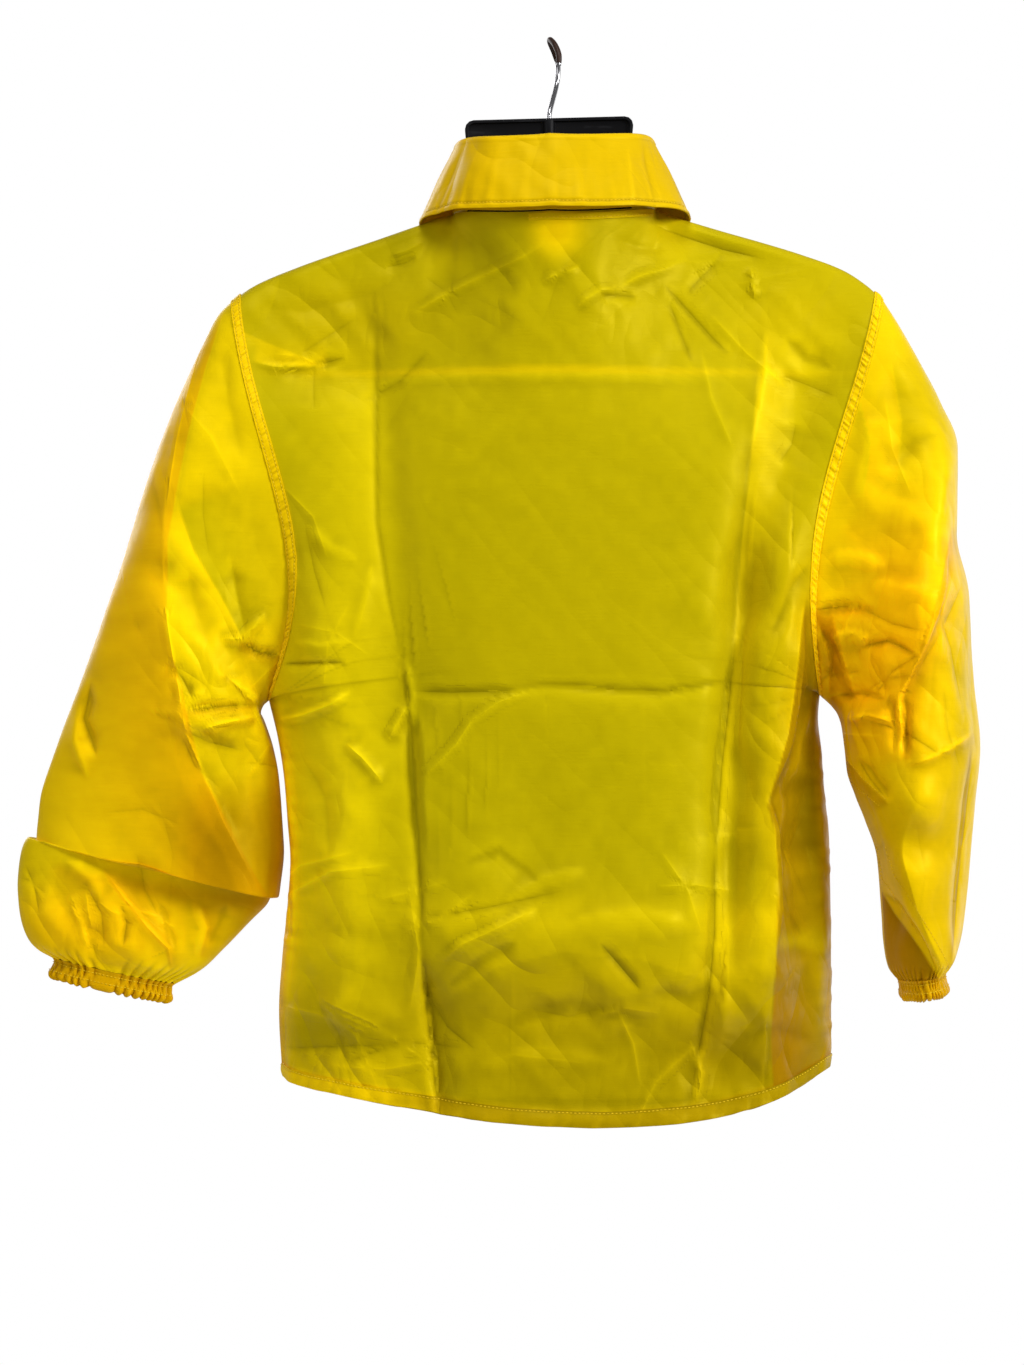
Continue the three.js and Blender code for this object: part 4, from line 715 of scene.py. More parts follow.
def beside(points, reach, x, z):
    """Which places lie near a line, how far off it they are, and their share of the way along it.
    Off is above 0 on the side that is left or below as seen from behind."""
    line = np.array(points, float)
    step = np.diff(line, axis=0)
    long = np.hypot(step[:, 0], step[:, 1])
    start = np.concatenate([[0], np.cumsum(long)])
    low, high = line.min(axis=0) - reach, line.max(axis=0) + reach
    near = (x > low[0]) & (x < high[0]) & (z > low[1]) & (z < high[1])
    px, pz = x[near], z[near]
    best = np.full(px.shape, 1e9)
    off, along = np.zeros_like(px), np.zeros_like(px)
    for k in range(len(step)):
        ux, uz = step[k] / long[k]
        rx, rz = px - line[k, 0], pz - line[k, 1]
        t = np.clip(rx * ux + rz * uz, 0, long[k])
        distance = np.hypot(rx - t * ux, rz - t * uz)
        closer = distance < best
        best = np.where(closer, distance, best)
        side = np.where(rz * ux - rx * uz < 0, -1.0, 1.0)
        off = np.where(closer, side * distance, off)
        along = np.where(closer, start[k] + t, along)
    return near, off, along / start[-1]


def crease_lift(creases, x, z):
    """Sum of the creases at places of the flat view. Each fades out towards its two ends."""
    total = np.zeros_like(x)
    for points, lift, one, other, edge in creases:
        near, off, share = beside(points, 3.2 * max(one, other), x, z)
        fade = smooth(share, 0, 0.3) * smooth(1 - share, 0, 0.3)
        wide = np.where(off > 0, one, other) * (0.5 + 0.5 * fade)
        total[near] += lift * fade * np.exp(-(np.abs(off / wide) ** edge))
    return total


def sharp_lines(creases, x, z):
    """For the nearest crisp crease, how far off it each place lies, and how strongly it shows there, as a
    bump and as a painted line, light on a ridge and dark in a valley.
    """
    nearest, second, strength = np.full(x.shape, 99.0), np.full(x.shape, 99.0), np.zeros_like(x)
    for points, lift, one, other, edge in creases:
        if edge > 1.35:
            continue
        near, off, share = beside(points, 8, x, z)
        power = np.clip(lift / 2.5, -1, 1) * smooth(share, 0, 0.25) * smooth(1 - share, 0, 0.25)
        power = power * smooth(np.abs(off), 8, 2)
        shows = np.abs(power) > 0.02
        reach = np.where(shows, np.abs(off), 99)
        before = np.abs(nearest[near])
        closer = reach < before
        second[near] = np.minimum(second[near], np.maximum(reach, before))
        nearest[near] = np.where(closer, off, nearest[near])
        strength[near] = np.where(closer, power, strength[near])
    return nearest, strength * smooth(second - np.abs(nearest), 0.5, 4)


def drawn_on(points, normals, line, step=2.0):
    """A line of the flat view laid on a grid's surface, with its normals."""
    line = np.array(line, float)
    start = np.concatenate([[0], np.cumsum(np.hypot(*np.diff(line, axis=0).T))])
    along = np.arange(0, start[-1], step)
    x, z = (np.interp(along, start, line[:, k]) for k in (0, 1))
    flat, up = points.reshape(-1, 3), normals.reshape(-1, 3)
    gap = np.hypot(flat[None, :, 0] - x[:, None], flat[None, :, 2] - z[:, None])
    nearest = np.argpartition(gap, 4, axis=1)[:, :4]
    weight = 1 / (np.take_along_axis(gap, nearest, 1) + 0.2)
    weight = (weight / weight.sum(axis=1, keepdims=True))[..., None]
    up = unit((up[nearest] * weight).sum(axis=1))
    return (flat[nearest] * weight).sum(axis=1) + up * 0.25, up


def shade(rows, x, z, tone, light):
    """Adds to how doubled the cloth is and to its painted light and shade beside each line, with a crisp step
    at the line.
    """
    for points, first, second in rows:
        near, off, share = beside(points, 2.6 * max(first[0], second[0]), x, z)
        fade = smooth(share, 0, 0.1) * smooth(1 - share, 0, 0.1)
        step = smooth(off, -1.1, 1.1)
        for (wide, more, lighter), part in ((first, step), (second, 1 - step)):
            amount = fade * part * np.exp(-((np.abs(off) / wide) ** 1.4))
            tone[near] += amount * more
            light[near] += amount * lighter


def small_creases(rows, seed):
    """Short uneven creases spread over zones of the flat view, as further rows of a crease list."""
    rng = np.random.default_rng(seed)
    made = []
    for mid_x, mid_z, wide, tall, count, degrees, scatter, long, lift in rows:
        for _ in range(count):
            x, z = mid_x + wide * rng.uniform(-1, 1), mid_z + tall * rng.uniform(-1, 1)
            turn = math.radians(degrees + scatter * rng.normal())
            reach = long * rng.uniform(0.6, 1.5) / 2
            dx, dz = reach * math.cos(turn), reach * math.sin(turn)
            bow = reach * rng.uniform(-0.25, 0.25)
            middle = (x - bow * math.sin(turn), z + bow * math.cos(turn))
            points = [(x - dx, z - dz), middle, (x + dx, z + dz)]
            size = lift * rng.uniform(0.6, 1.6) * rng.choice((-1, 1))
            made.append((points, size, rng.uniform(5, 20), rng.uniform(5, 20), 1.05))
    return made


def ripple(x, z, wide, tall, seed):
    """Smooth uneven noise from -1 to 1 with cells of the given size."""
    rng = np.random.default_rng(seed)
    grid = rng.uniform(-1, 1, (64, 64))
    u, v = x / wide + 31.7, z / tall + 47.3
    i, j = np.floor(u).astype(int), np.floor(v).astype(int)
    s, t = u - i, v - j
    s, t = s * s * s * (s * (6 * s - 15) + 10), t * t * t * (t * (6 * t - 15) + 10)
    corner = lambda di, dj: grid[(i + di) % 64, (j + dj) % 64]
    low = lerp(corner(0, 0), corner(1, 0), s)
    high = lerp(corner(0, 1), corner(1, 1), s)
    return lerp(low, high, t)


_all_creases = {}
_pieces = {}


def all_creases(part):
    if part not in _all_creases:
        gain = sizes().crease_gain
        drawn = [(points, lift * gain, *rest) for points, lift, *rest in CREASES[part]]
        seed = 100 + sorted(CREASES).index(part)
        _all_creases[part] = drawn + small_creases(CREASE_ZONES[part], seed)
    return _all_creases[part]


def unit(v):
    return v / np.maximum(np.linalg.norm(v, axis=-1, keepdims=True), 1e-9)


def stack(x, y, z):
    return np.stack(np.broadcast_arrays(x, y, z), axis=-1)


# The body


def shoulder_z(x):
    return read(SHOULDER_LINE, "out", "z", np.abs(x)) + SHOULDER_TILT * x


def armhole(side, face, share):
    s = SIDES[side]
    inwards = s["sway"] * np.sin(np.pi * share ** s["power"])
    return (
        lerp(s["tipX"], s["pitX"], share) - s["sign"] * inwards,
        FACES[face] * ARMHOLE_DEPTH[face] * arch(share, 0.5, ARMHOLE_SOFT),
        lerp(shoulder_z(s["tipX"]), s["pitZ"], share),
    )


def body_edge(side, face, down):
    s, seam = SIDES[side], SIDE_SEAMS[side]
    upper = armhole(side, face, np.clip(down / PIT_DOWN, 0, 1))
    z = lerp(s["pitZ"], s["hemZ"], np.clip((down - PIT_DOWN) / (1 - PIT_DOWN), 0, 1))
    lower = (read(seam, "z", "x", z), read(seam, "z", "y", z), z)
    return tuple(np.where(down <= PIT_DOWN, a, b) for a, b in zip(upper, lower))


def across_x(right, left, across):
    return MID_X + (left - right) / 2 * across + ((left + right) / 2 - MID_X) * across * across


def top_z(face, x):
    off = np.abs(x - MID_X) / NECK_HALF_WIDTH
    return shoulder_z(x) - NECK_DROP[face] * np.maximum(0, 1 - off * off)


def neck_y(face, x, below):
    off = np.abs(x - MID_X) / NECK_HALF_WIDTH
    edge = NECK_DEPTH[face] * np.sqrt(np.maximum(0, 1 - off * off))
    swell = NECK_DEPTH[face] / (1 + (off * 1.25) ** 4)
    return lerp(edge, swell, smooth(below, 0, NECK_BLEND))


def body(face, across, down):
    """The body's outer surface with its large folds, before its creases."""
    across, down = np.broadcast_arrays(np.asarray(across, float), np.asarray(down, float))
    sign = FACES[face]
    left, right = (body_edge(side, face, down) for side in ("left", "right"))
    own = across > 0
    own_y, own_z = np.where(own, left[1], right[1]), np.where(own, left[2], right[2])
    tips = {side: SIDES[side]["tipX"] for side in SIDES}
    own_hem = np.where(own, SIDES["left"]["hemZ"], SIDES["right"]["hemZ"])
    own_top = np.where(own, shoulder_z(tips["left"]), shoulder_z(tips["right"]))
    x = across_x(right[0], left[0], across)
    top_x = across_x(tips["right"], tips["left"], across)
    hem_x = across_x(SIDE_SEAMS["right"]["x"][-1], SIDE_SEAMS["left"]["x"][-1], across)
    rise = FRONT_HEM_RISE * (1 - across * across) if face == "front" else 0
    hem = lerp(read(HEM_LINE, "x", "z", hem_x) + rise, own_hem, across**16)
    z = lerp(top_z(face, top_x), hem, down) + (own_z - lerp(own_top, own_hem, down)) * across**4

    deep, square, roll = (read(SECTIONS, "z", name, z) for name in (face, "square", "roll"))
    edge_y = lerp(right[1], left[1], (across + 1) / 2)
    belly = np.maximum(0, 1 - np.abs(across) ** square) ** roll
    chest = lerp(edge_y, sign * deep, belly)
    below = np.maximum(0, shoulder_z(top_x) - z)
    over = RIDGE_ROUND - np.minimum(below, RIDGE_ROUND)
    wrap = np.sqrt(np.maximum(0, RIDGE_ROUND**2 - over**2))
    neck = neck_y(face, top_x, below)
    ridge = sign * (neck + (1 - neck / NECK_DEPTH[face]) * wrap)
    shoulder = lerp(ridge, own_y, across**8)
    y = lerp(shoulder, chest, smooth(below, 0, SHOULDER_BLEND))
    free = (1 - across**10) * smooth(top_z(face, top_x) - z, 12, 70)
    return stack(x, y + sign * free * fold_lift(FOLDS[face], x, z), z)


def soft_body(face, across, down):
    """The body with the turn at the bottom of the armholes eased away from the seams."""
    across, down = np.broadcast_arrays(np.asarray(across, float), np.asarray(down, float))
    ease = 0.05 * smooth(1 - np.abs(across), 0.01, 0.3)
    ease = ease * smooth(down, 0.12, 0.3) * smooth(1 - down, 0.05, 0.2)
    corner = 0.14 * np.exp(-(((np.abs(across) - 0.31) / 0.2) ** 2)) * smooth(down, 0.001, 0.05)
    total = 0
    for step, weight in ((-1, 0.12), (-0.5, 0.2), (0, 0.36), (0.5, 0.2), (1, 0.12)):
        total = total + weight * body(face, across + step * corner, down + step * ease)
    x, z = total[..., 0], total[..., 2]
    inside = smooth(1 - np.abs(across), 0.02, 0.35) * smooth(down, 0.3, 0.5)
    belly = 6 * np.exp(-(((z + 655) / 42) ** 2)) - 9 * smooth(-z, 680, 775) + 5 * smooth(-z, 785, 800)
    total[..., 1] += FACES[face] * inside * belly
    return total


def body_normals(face, across, down):
    e = 0.002
    at = lambda a, d: soft_body(face, a, d)
    sideways = at(np.minimum(across + e, 1), down) - at(np.maximum(across - e, -1), down)
    downwards = at(across, np.minimum(down + e, 1)) - at(across, np.maximum(down - e, 0))
    return unit(np.cross(sideways, downwards)) * FACES[face]


def body_cloth(face, across, down):
    """The finished surface of the body with its normals, for places given by across and down."""
    across, down = np.broadcast_arrays(np.asarray(across, float), np.asarray(down, float))
    points = soft_body(face, across, down)
    normals = body_normals(face, across, down)
    x, z = points[..., 0], points[..., 2]
    edge = 1 - np.abs(across)
    free = smooth(edge, 0, 0.05) * smooth(down, 0.0, 0.03)
    lift = crease_lift(all_creases(face), x, z) * free
    seed = 11 if face == "back" else 23
    low = smooth(-z, 380, 760)
    lift = lift + free * (0.9 + 1.1 * low) * ripple(x, z, 62, 90, seed)
    lift = lift + free * (0.35 + 0.5 * low) * ripple(x + 0.4 * z, z, 24, 30, seed + 1)
    lift = lift + free * 0.12 * ripple(x, z, 9, 11, seed + 2)
    pucker = np.exp(-edge * 238 / 9) * smooth(down, PIT_DOWN, PIT_DOWN + 0.04)
    lift = lift + 0.9 * pucker * smooth(edge, 0, 0.006) * ripple(x * 0.2, z, 9, 6.5, seed + 3)
    hem = np.exp(-(1 - down) * 680 / 14)
    waves = 0.8 * ripple(x, z * 0.2, 8, 30, seed + 4) + 1.3 * ripple(x, z * 0.2, 34, 30, seed + 5)
    lift = lift + hem * free * waves
    return points + normals * lift[..., None], normals


# The sleeves


def sleeve(side, ring, turn):
    """A point of a sleeve's outer surface. turn runs 0 to 1 over the back, 1 to 2 over the front."""
    ring, turn = np.broadcast_arrays(np.asarray(ring, float), np.asarray(turn, float))
    row = {name: read(SLEEVES[side], "ring", name, ring) for name in SLEEVES[side]}
    s = SIDES[side]
    behind = turn <= 1
    share = (1 - np.cos(np.pi * np.where(behind, turn, 2 - turn))) / 2
    pull = s["sway"] * np.maximum(0, 1 - ring / 1.6) ** 1.5
    x = lerp(row["outerX"], row["innerX"], share)
    x = x - s["sign"] * pull * np.sin(np.pi * share ** s["power"])
    z = lerp(row["outerZ"], row["innerZ"], share)
    front_soft = lerp(ARMHOLE_SOFT, 2.2, smooth(ring, 0, 1))
    round_back = arch(share, row["peak"], row["soft"])
    round_front = arch(share, 0.5, front_soft)
    curve = np.where(behind, round_back, round_front)
    free = smooth(ring, 0, 1.5) * smooth(13 - ring, 0, 1) * curve
    lift = np.where(
        behind,
        fold_lift(FOLDS[f"sleeve_{side}_back"], x, z),
        fold_lift(FOLDS[f"sleeve_{side}_front"], x, z),
    )
    deep = np.where(behind, row["back"], -row["front"])
    return stack(x, row["midY"] + deep * curve + np.where(behind, 1, -1) * free * lift, z)


def sleeve_normals(side, ring, turn):
    e, f = 0.02, 0.006
    around = sleeve(side, ring, (turn + f) % 2) - sleeve(side, ring, (turn - f) % 2)
    along = sleeve(side, np.minimum(ring + e, 13), turn) - sleeve(side, np.maximum(ring - e, 0), turn)
    return unit(np.cross(around, along)) * -SIGNS[side]


def gather(angle, seed):
    """Uneven gathers round an edge, from -1 to 1: round lobes with tight hollows between them."""
    rng = np.random.default_rng(seed)
    bend = rng.uniform(0, 6.28, 4)
    drift = 1.3 * np.sin(2 * angle + bend[0]) + 0.9 * np.sin(5 * angle + bend[1])
    drift = drift + 0.5 * np.sin(9 * angle + bend[2])
    lobes = 2 * np.abs(np.cos(17 * angle + 1.4 * drift)) ** 0.8 - 1
    return lobes * (0.8 + 0.2 * np.sin(7 * angle + bend[3]))


def sleeve_cloth(side, ring, turn):
    ring, turn = np.broadcast_arrays(np.asarray(ring, float), np.asarray(turn, float))
    points = sleeve(side, ring, turn)
    normals = sleeve_normals(side, ring, turn)
    x, z = points[..., 0], points[..., 2]
    behind = turn <= 1
    share = np.where(behind, turn, 2 - turn)
    edge = smooth(share, 0, 0.16) * smooth(1 - share, 0, 0.16)
    free = edge * smooth(ring, 0, 0.5) * smooth(13 - ring, 0, 0.6)
    lift = np.where(
        behind,
        crease_lift(all_creases(f"sleeve_{side}"), x, z),
        crease_lift(all_creases("sleeve_front"), x, z),
    )
    seed = 41 if side == "left" else 57
    y = points[..., 1]
    lift = lift * free
    soft = smooth(ring, 0, 0.6) * smooth(13 - ring, 0, 0.6) * (0.3 + 0.7 * edge)
    lift = lift + soft * 1.2 * ripple(x + y, z - 0.3 * y, 46, 60, seed)
    lift = lift + soft * 0.45 * ripple(x + y, z - 0.5 * y, 19, 24, seed + 1)
    lift = lift + soft * 0.12 * ripple(x + y, z, 8, 9, seed + 2)
    near = smooth(ring, 11.6, 13)
    lift = lift + near * (1.5 * gather(np.pi * turn, seed + 3) - 0.8)
    return points + normals * lift[..., None], normals


# The collar


def neck_seam(degrees):
    angle = np.radians(degrees)
    across = NECK_HALF_WIDTH / ((SIDES["left"]["tipX"] - SIDES["right"]["tipX"]) / 2) * np.sin(angle)
    behind = (np.cos(angle) >= 0)[..., None]
    seam = np.where(behind, body("back", across, 0 * across), body("front", across, 0 * across))
    depth = np.where(behind[..., 0], NECK_DEPTH["back"], NECK_DEPTH["front"])
    out = unit(stack(np.sin(angle) / NECK_HALF_WIDTH, np.cos(angle) / depth, 0))
    return seam, out, stack(out[..., 1], -out[..., 0], 0)


def collar_leaf(degrees, line):
    """The leaf's outer surface. line runs from -1 on the stand over the fold at 0 to 1 at the edge."""
    degrees, line = np.broadcast_arrays(np.asarray(degrees, float), np.asarray(line, float))
    seam, out, around = neck_seam(degrees)
    row = {name: read(COLLAR, "round", name, np.abs(degrees)) for name in COLLAR}
    over = np.radians(np.clip(lerp(-90, 90, (line + 0.3) / 0.5), -90, 90))
    fall = smooth(line, 0.12, 0.32) * 0.02 + np.maximum(0, (line - 0.2) / 0.8)
    foot = np.maximum(0, -0.3 - line) / 0.7 * 6
    up = np.array([0, 0, 1.0])
    part = lambda value: value[..., None]
    away = row["out"] + COLLAR_ROLL - 0.7 + COLLAR_ROLL * np.sin(over) + row["spread"] * fall
    high = row["up"] - COLLAR_ROLL + COLLAR_ROLL * np.cos(over) - row["drop"] * fall - foot
    points = seam + out * part(away) + up * part(high)
    return points - around * part(np.sign(degrees) * row["back"] * fall)


def collar_cloth(degrees, line):
    degrees, line = np.broadcast_arrays(np.asarray(degrees, float), np.asarray(line, float))
    points = collar_leaf(degrees, line)
    before, after = np.maximum(degrees - 0.5, -COLLAR_END), np.minimum(degrees + 0.5, COLLAR_END)
    higher, lower = np.maximum(line - 0.02, -1), np.minimum(line + 0.02, 1)
    around = collar_leaf(after, line) - collar_leaf(before, line)
    along = collar_leaf(degrees, lower) - collar_leaf(degrees, higher)
    normals = unit(np.cross(around, along))
    arc = degrees * 1.35
    low = smooth(line, 0.15, 0.5)
    lift = 1.2 * low * ripple(arc, line * 60, 42, 34, 71) + 0.5 * low * ripple(arc, line * 60, 14, 20, 72)
    for place, size, wide in COLLAR_FOLDS:
        lift = lift + size * low * np.exp(-(np.abs((degrees - place - 6 * line) / wide) ** 1.3))
    below = (1 - line) * 56
    edge = np.clip(1 - line, 0, 0.04) / 0.04
    lift = lift + 0.7 * edge * np.exp(-((below / 22) ** 1.5)) * ripple(arc, line * 12, 6, 30, 73)
    lift = lift + edge * 0.5 * np.exp(-(((below - 1.5) / 1.6) ** 2))
    lift = lift - 0.6 * np.exp(-(((below - 3.8) / 1.1) ** 2))
    return points + normals * lift[..., None], normals


# Meshes


def closed_grid(grid, closed):
    return np.concatenate([grid, grid[:, :1]], axis=1) if closed else grid


def shell_faces(rows, columns, closed=False):
    """Faces of a closed wall: a grid outside, and inside it a grid of every second row and column.
    The inner points are numbered after the outer ones. Its rims are faces of five corners."""
    top = closed_grid(np.arange(rows * columns).reshape(rows, columns), closed)
    inner_columns = columns // 2 if closed else columns // 2 + 1
    low = np.arange((rows // 2 + 1) * inner_columns).reshape(-1, inner_columns) + rows * columns
    low = closed_grid(low, closed)
    corners = lambda *parts: np.stack([c.ravel() for c in parts], axis=1).tolist()
    faces = corners(top[:-1, :-1], top[1:, :-1], top[1:, 1:], top[:-1, 1:])
    faces += corners(low[:-1, :-1], low[:-1, 1:], low[1:, 1:], low[1:, :-1])

    def rim(outer, inner):
        return corners(outer[0:-1:2], outer[1::2], outer[2::2], inner[1:], inner[:-1])

    faces += rim(top[0], low[0])
    faces += rim(top[-1][::-1], low[-1][::-1])
    if not closed:
        faces += rim(top[:, 0][::-1], low[:, 0][::-1])
        faces += rim(top[:, -1], low[:, -1])
    return faces


def make_mesh(name, points, faces, material, **attributes):
    """A smooth-shaded piece from points in millimetres. Its faces are turned to point outwards."""
    quads = points[np.array([face[:4] for face in faces])]
    turned = np.cross(quads[:, 2] - quads[:, 0], quads[:, 3] - quads[:, 1])
    if ((quads.mean(axis=1) - points.mean(axis=0)) * turned).sum() < 0:
        faces = [face[::-1] for face in faces]
    mesh = bpy.data.meshes.new(name)
    mesh.from_pydata((points * MM).tolist(), [], faces)
    for key, values in attributes.items():
        layer = mesh.attributes.new(key, "FLOAT", "POINT")
        layer.data.foreach_set("value", np.asarray(values, np.float32))
    mesh.materials.append(material)
    mesh.polygons.foreach_set("use_smooth", np.ones(len(mesh.polygons), bool))
    mesh.update()
    mesh.set_sharp_from_angle(angle=math.radians(52))
    piece = bpy.data.objects.new(name, mesh)
    bpy.context.scene.collection.objects.link(piece)
    return piece


def hollows(points, normals, reach=2):
    """How far each point stands proud of its neighbourhood, in millimetres: below 0 in a crease."""
    total, count = np.zeros_like(points), 0
    rows, columns = points.shape[:2]
    for step in range(1, reach + 1):
        for axis, length in ((0, rows), (1, columns)):
            for side in (-step, step):
                index = np.clip(np.arange(length) + side, 0, length - 1)
                total = total + np.take(points, index, axis=axis)
                count += 1
    return ((points - total / count) * normals).sum(axis=-1)


def creased_light(points, normals, light):
    """Light and dark along the creases, where thin cloth catches or loses light."""
    return light * (1 + np.clip(hollows(points, normals) * 0.9, -0.16, 0.1))


def make_shell(
    name, outer, normals, thick, material, tone, light, crush=0.3, closed=False, fold=99.0, sharp=0.0
):
    """A closed wall of cloth from its outer grid, with the values that its finish reads at each point."""
    rows, columns = outer.shape[:2]
    if rows % 2 == 0 or (columns % 2 == 0) != closed:
        raise RuntimeError(f"{name}: the grid needs odd rows, and odd columns where it is open")
    inner = (outer - normals * thick)[::2, ::2]
    points = np.concatenate([outer.reshape(-1, 3), inner.reshape(-1, 3)])
    faces = shell_faces(rows, columns, closed)
    full = lambda v: np.broadcast_to(v, (rows, columns))
    both = lambda v: np.concatenate([full(v).ravel(), full(v)[::2, ::2].ravel()])
    paint = dict(tone=tone, light=light, crush=crush, fold=fold, sharp=sharp)
    return make_mesh(name, points, faces, material, **{key: both(value) for key, value in paint.items()})


def dress(piece, slot, *nodes):
    """Puts a finished piece on the part's one body and in place of its CAD nodes, which it hides. Its slot is
    not used.
    """
    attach(piece, "root")
    for node in nodes:
        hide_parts(node)
    return piece


def area_of(piece):
    """Surface of a closed cloth piece's two faces together, halved, in square metres."""
    mesh = piece.data
    areas = np.zeros(len(mesh.polygons))
    mesh.polygons.foreach_get("area", areas)
    return areas.sum() / 2


def declare_sheet(piece, width, length):
    """Works out a cut piece of cloth's area, at most the size it was cut to in millimetres, and keeps
    nothing.
    """
    area = min(area_of(piece), width * length * MM * MM)


def ring_faces(rings, around):
    """Quads between closed rings of points that are numbered ring by ring."""
    index = closed_grid(np.arange(rings * around).reshape(rings, around), True)
    corners = [index[:-1, :-1], index[:-1, 1:], index[1:, 1:], index[1:, :-1]]
    return np.stack(corners, axis=-1).reshape(-1, 4).tolist()


def tube(path, radius, around=20):
    """Points and quads of a round tube along a path, open at both ends."""
    path = np.asarray(path, float)
    along = unit(np.gradient(path, axis=0))
    side = unit(np.cross(along[0], [0.3, 0.8, 0.1]))
    rings = []
    radii = np.broadcast_to(radius, len(path))
    for point, direction, r in zip(path, along, radii):
        side = unit(side - direction * side.dot(direction))
        third = np.cross(direction, side)
        turn = np.linspace(0, 2 * np.pi, around, endpoint=False)[:, None]
        rings.append(point + r * (np.cos(turn) * side + np.sin(turn) * third))
    rings = np.array(rings)
    return rings.reshape(-1, 3), ring_faces(len(path), around)


def smooth_path(points, count):
    """Places along a Catmull-Rom line through the points."""
    points = np.asarray(points, float)
    full = np.concatenate([[2 * points[0] - points[1]], points, [2 * points[-1] - points[-2]]])
    at = np.linspace(0, len(points) - 1 - 1e-6, count)
    i = np.floor(at).astype(int)
    t = (at - i)[:, None]
    a, b, c, d = full[i], full[i + 1], full[i + 2], full[i + 3]
    return 0.5 * (2 * b + (c - a) * t + (2 * a - 5 * b + 4 * c - d) * t**2 + (3 * b - a - 3 * c + d) * t**3)


# Materials


class Sock:
    """An output socket. An expression on it adds Math nodes to its tree."""

    def __init__(self, maker, socket):
        self.maker, self.socket = maker, socket

    def math(self, operation, *values):
        return self.maker.add("ShaderNodeMath", {"operation": operation}, values)

    def __add__(self, other):
        return self.math("ADD", self, other)

    def __sub__(self, other):
        return self.math("SUBTRACT", self, other)

    def __mul__(self, other):
        return self.math("MULTIPLY", self, other)

    def __truediv__(self, other):
        return self.math("DIVIDE", self, other)

    def __pow__(self, other):
        return self.math("POWER", self, other)

    def __rsub__(self, other):
        return self.math("SUBTRACT", other, self)

    def __rtruediv__(self, other):
        return self.math("DIVIDE", other, self)

    __radd__ = __add__
    __rmul__ = __mul__

    def above(self, edge, wide):
        """0 below an edge and 1 above it, with a soft step between."""
        low, high = edge - wide, edge + wide
        settings = {"interpolation_type": "SMOOTHSTEP"}
        values = {"Value": self, "From Min": low, "From Max": high}
        return self.maker.add("ShaderNodeMapRange", settings, values)


class Finish:
    """A material under construction: a Principled shader and the nodes that feed it."""

    def __init__(self, name, **constants):
        self.material = bpy.data.materials.new(name)
        self.material.use_nodes = True
        self.tree = self.material.node_tree
        self.shader = self.tree.nodes["Principled BSDF"]
        for key, value in constants.items():
            self.shader.inputs[key.replace("_", " ")].default_value = value

    def add(self, kind, settings=(), values=(), output=0):
        """One node: its settings first, then the values or links of its sockets."""
        node = self.tree.nodes.new(kind)
        for key, value in dict(settings).items():
            if key == "stops":
                for element, (place, colour) in zip(node.color_ramp.elements, value):
                    element.position, element.color = place, (*colour, 1)
            else:
                setattr(node, key, value)
        pairs = values.items() if isinstance(values, dict) else enumerate(values)
        for key, value in pairs:
            if isinstance(value, Sock):
                self.tree.links.new(value.socket, node.inputs[key])
            else:
                node.inputs[key].default_value = value
        return Sock(self, node.outputs[output])

    def place(self, scale=(1, 1, 1)):
        """Object coordinates in metres, stretched by a scale."""
        place = self.add("ShaderNodeTexCoord", output="Object")
        return self.add("ShaderNodeVectorMath", {"operation": "MULTIPLY"}, (place, scale))

    def noise(self, place, scale, detail=2.0, rough=0.5):
        values = {"Vector": place, "Scale": scale, "Detail": detail, "Roughness": rough}
        return self.add("ShaderNodeTexNoise", {}, values, "Fac")

    def creases(self, turn, stretch, scale):
        """Flat facets that meet at sharp creases, where a turned and stretched noise crosses its middle."""
        turned = self.add(
            "ShaderNodeVectorRotate", {"rotation_type": "Y_AXIS"}, {"Vector": self.place(), "Angle": turn}
        )
        place = self.add("ShaderNodeVectorMath", {"operation": "MULTIPLY"}, (turned, stretch))
        off = self.noise(place, scale, 1.0, 0.4) * 2.0 - 1.0
        return self.size(off)

    def size(self, value):
        """A value without its sign."""
        return self.add("ShaderNodeMath", {"operation": "ABSOLUTE"}, (value,))

    def wave(self, place, scale, direction, distortion=0.0):
        settings = {"wave_type": "BANDS", "bands_direction": direction, "wave_profile": "SIN"}
        values = {"Vector": place, "Scale": scale, "Distortion": distortion}
        values.update({"Detail": 1.0, "Detail Scale": 2.0})
        return self.add("ShaderNodeTexWave", settings, values, "Fac")

    def attribute(self, name):
        return self.add("ShaderNodeAttribute", {"attribute_name": name}, (), "Fac")

    def mix(self, factor, a, b):
        settings = {"data_type": "RGBA", "clamp_factor": True}
        node = self.add("ShaderNodeMix", settings, {0: factor, 6: a, 7: b}, 2)
        return node

    def scaled(self, colour, amount):
        """A colour made lighter or darker by a value."""
        node = self.tree.nodes.new("ShaderNodeVectorMath")
        node.operation = "SCALE"
        self.tree.links.new(colour.socket, node.inputs[0])
        self.tree.links.new(amount.socket, node.inputs["Scale"])
        return Sock(self, node.outputs[0])

    def bump(self, height, strength, distance, under=None):
        values = {"Height": height, "Strength": strength, "Distance": distance}
        if under is not None:
            values["Normal"] = under
        return self.add("ShaderNodeBump", {}, values, "Normal")

    def feed(self, **links):
        for key, value in links.items():
            self.tree.links.new(value.socket, self.shader.inputs[key.replace("_", " ")])
        return self.material


def rgba(colour):
    return (*colour, 1.0)


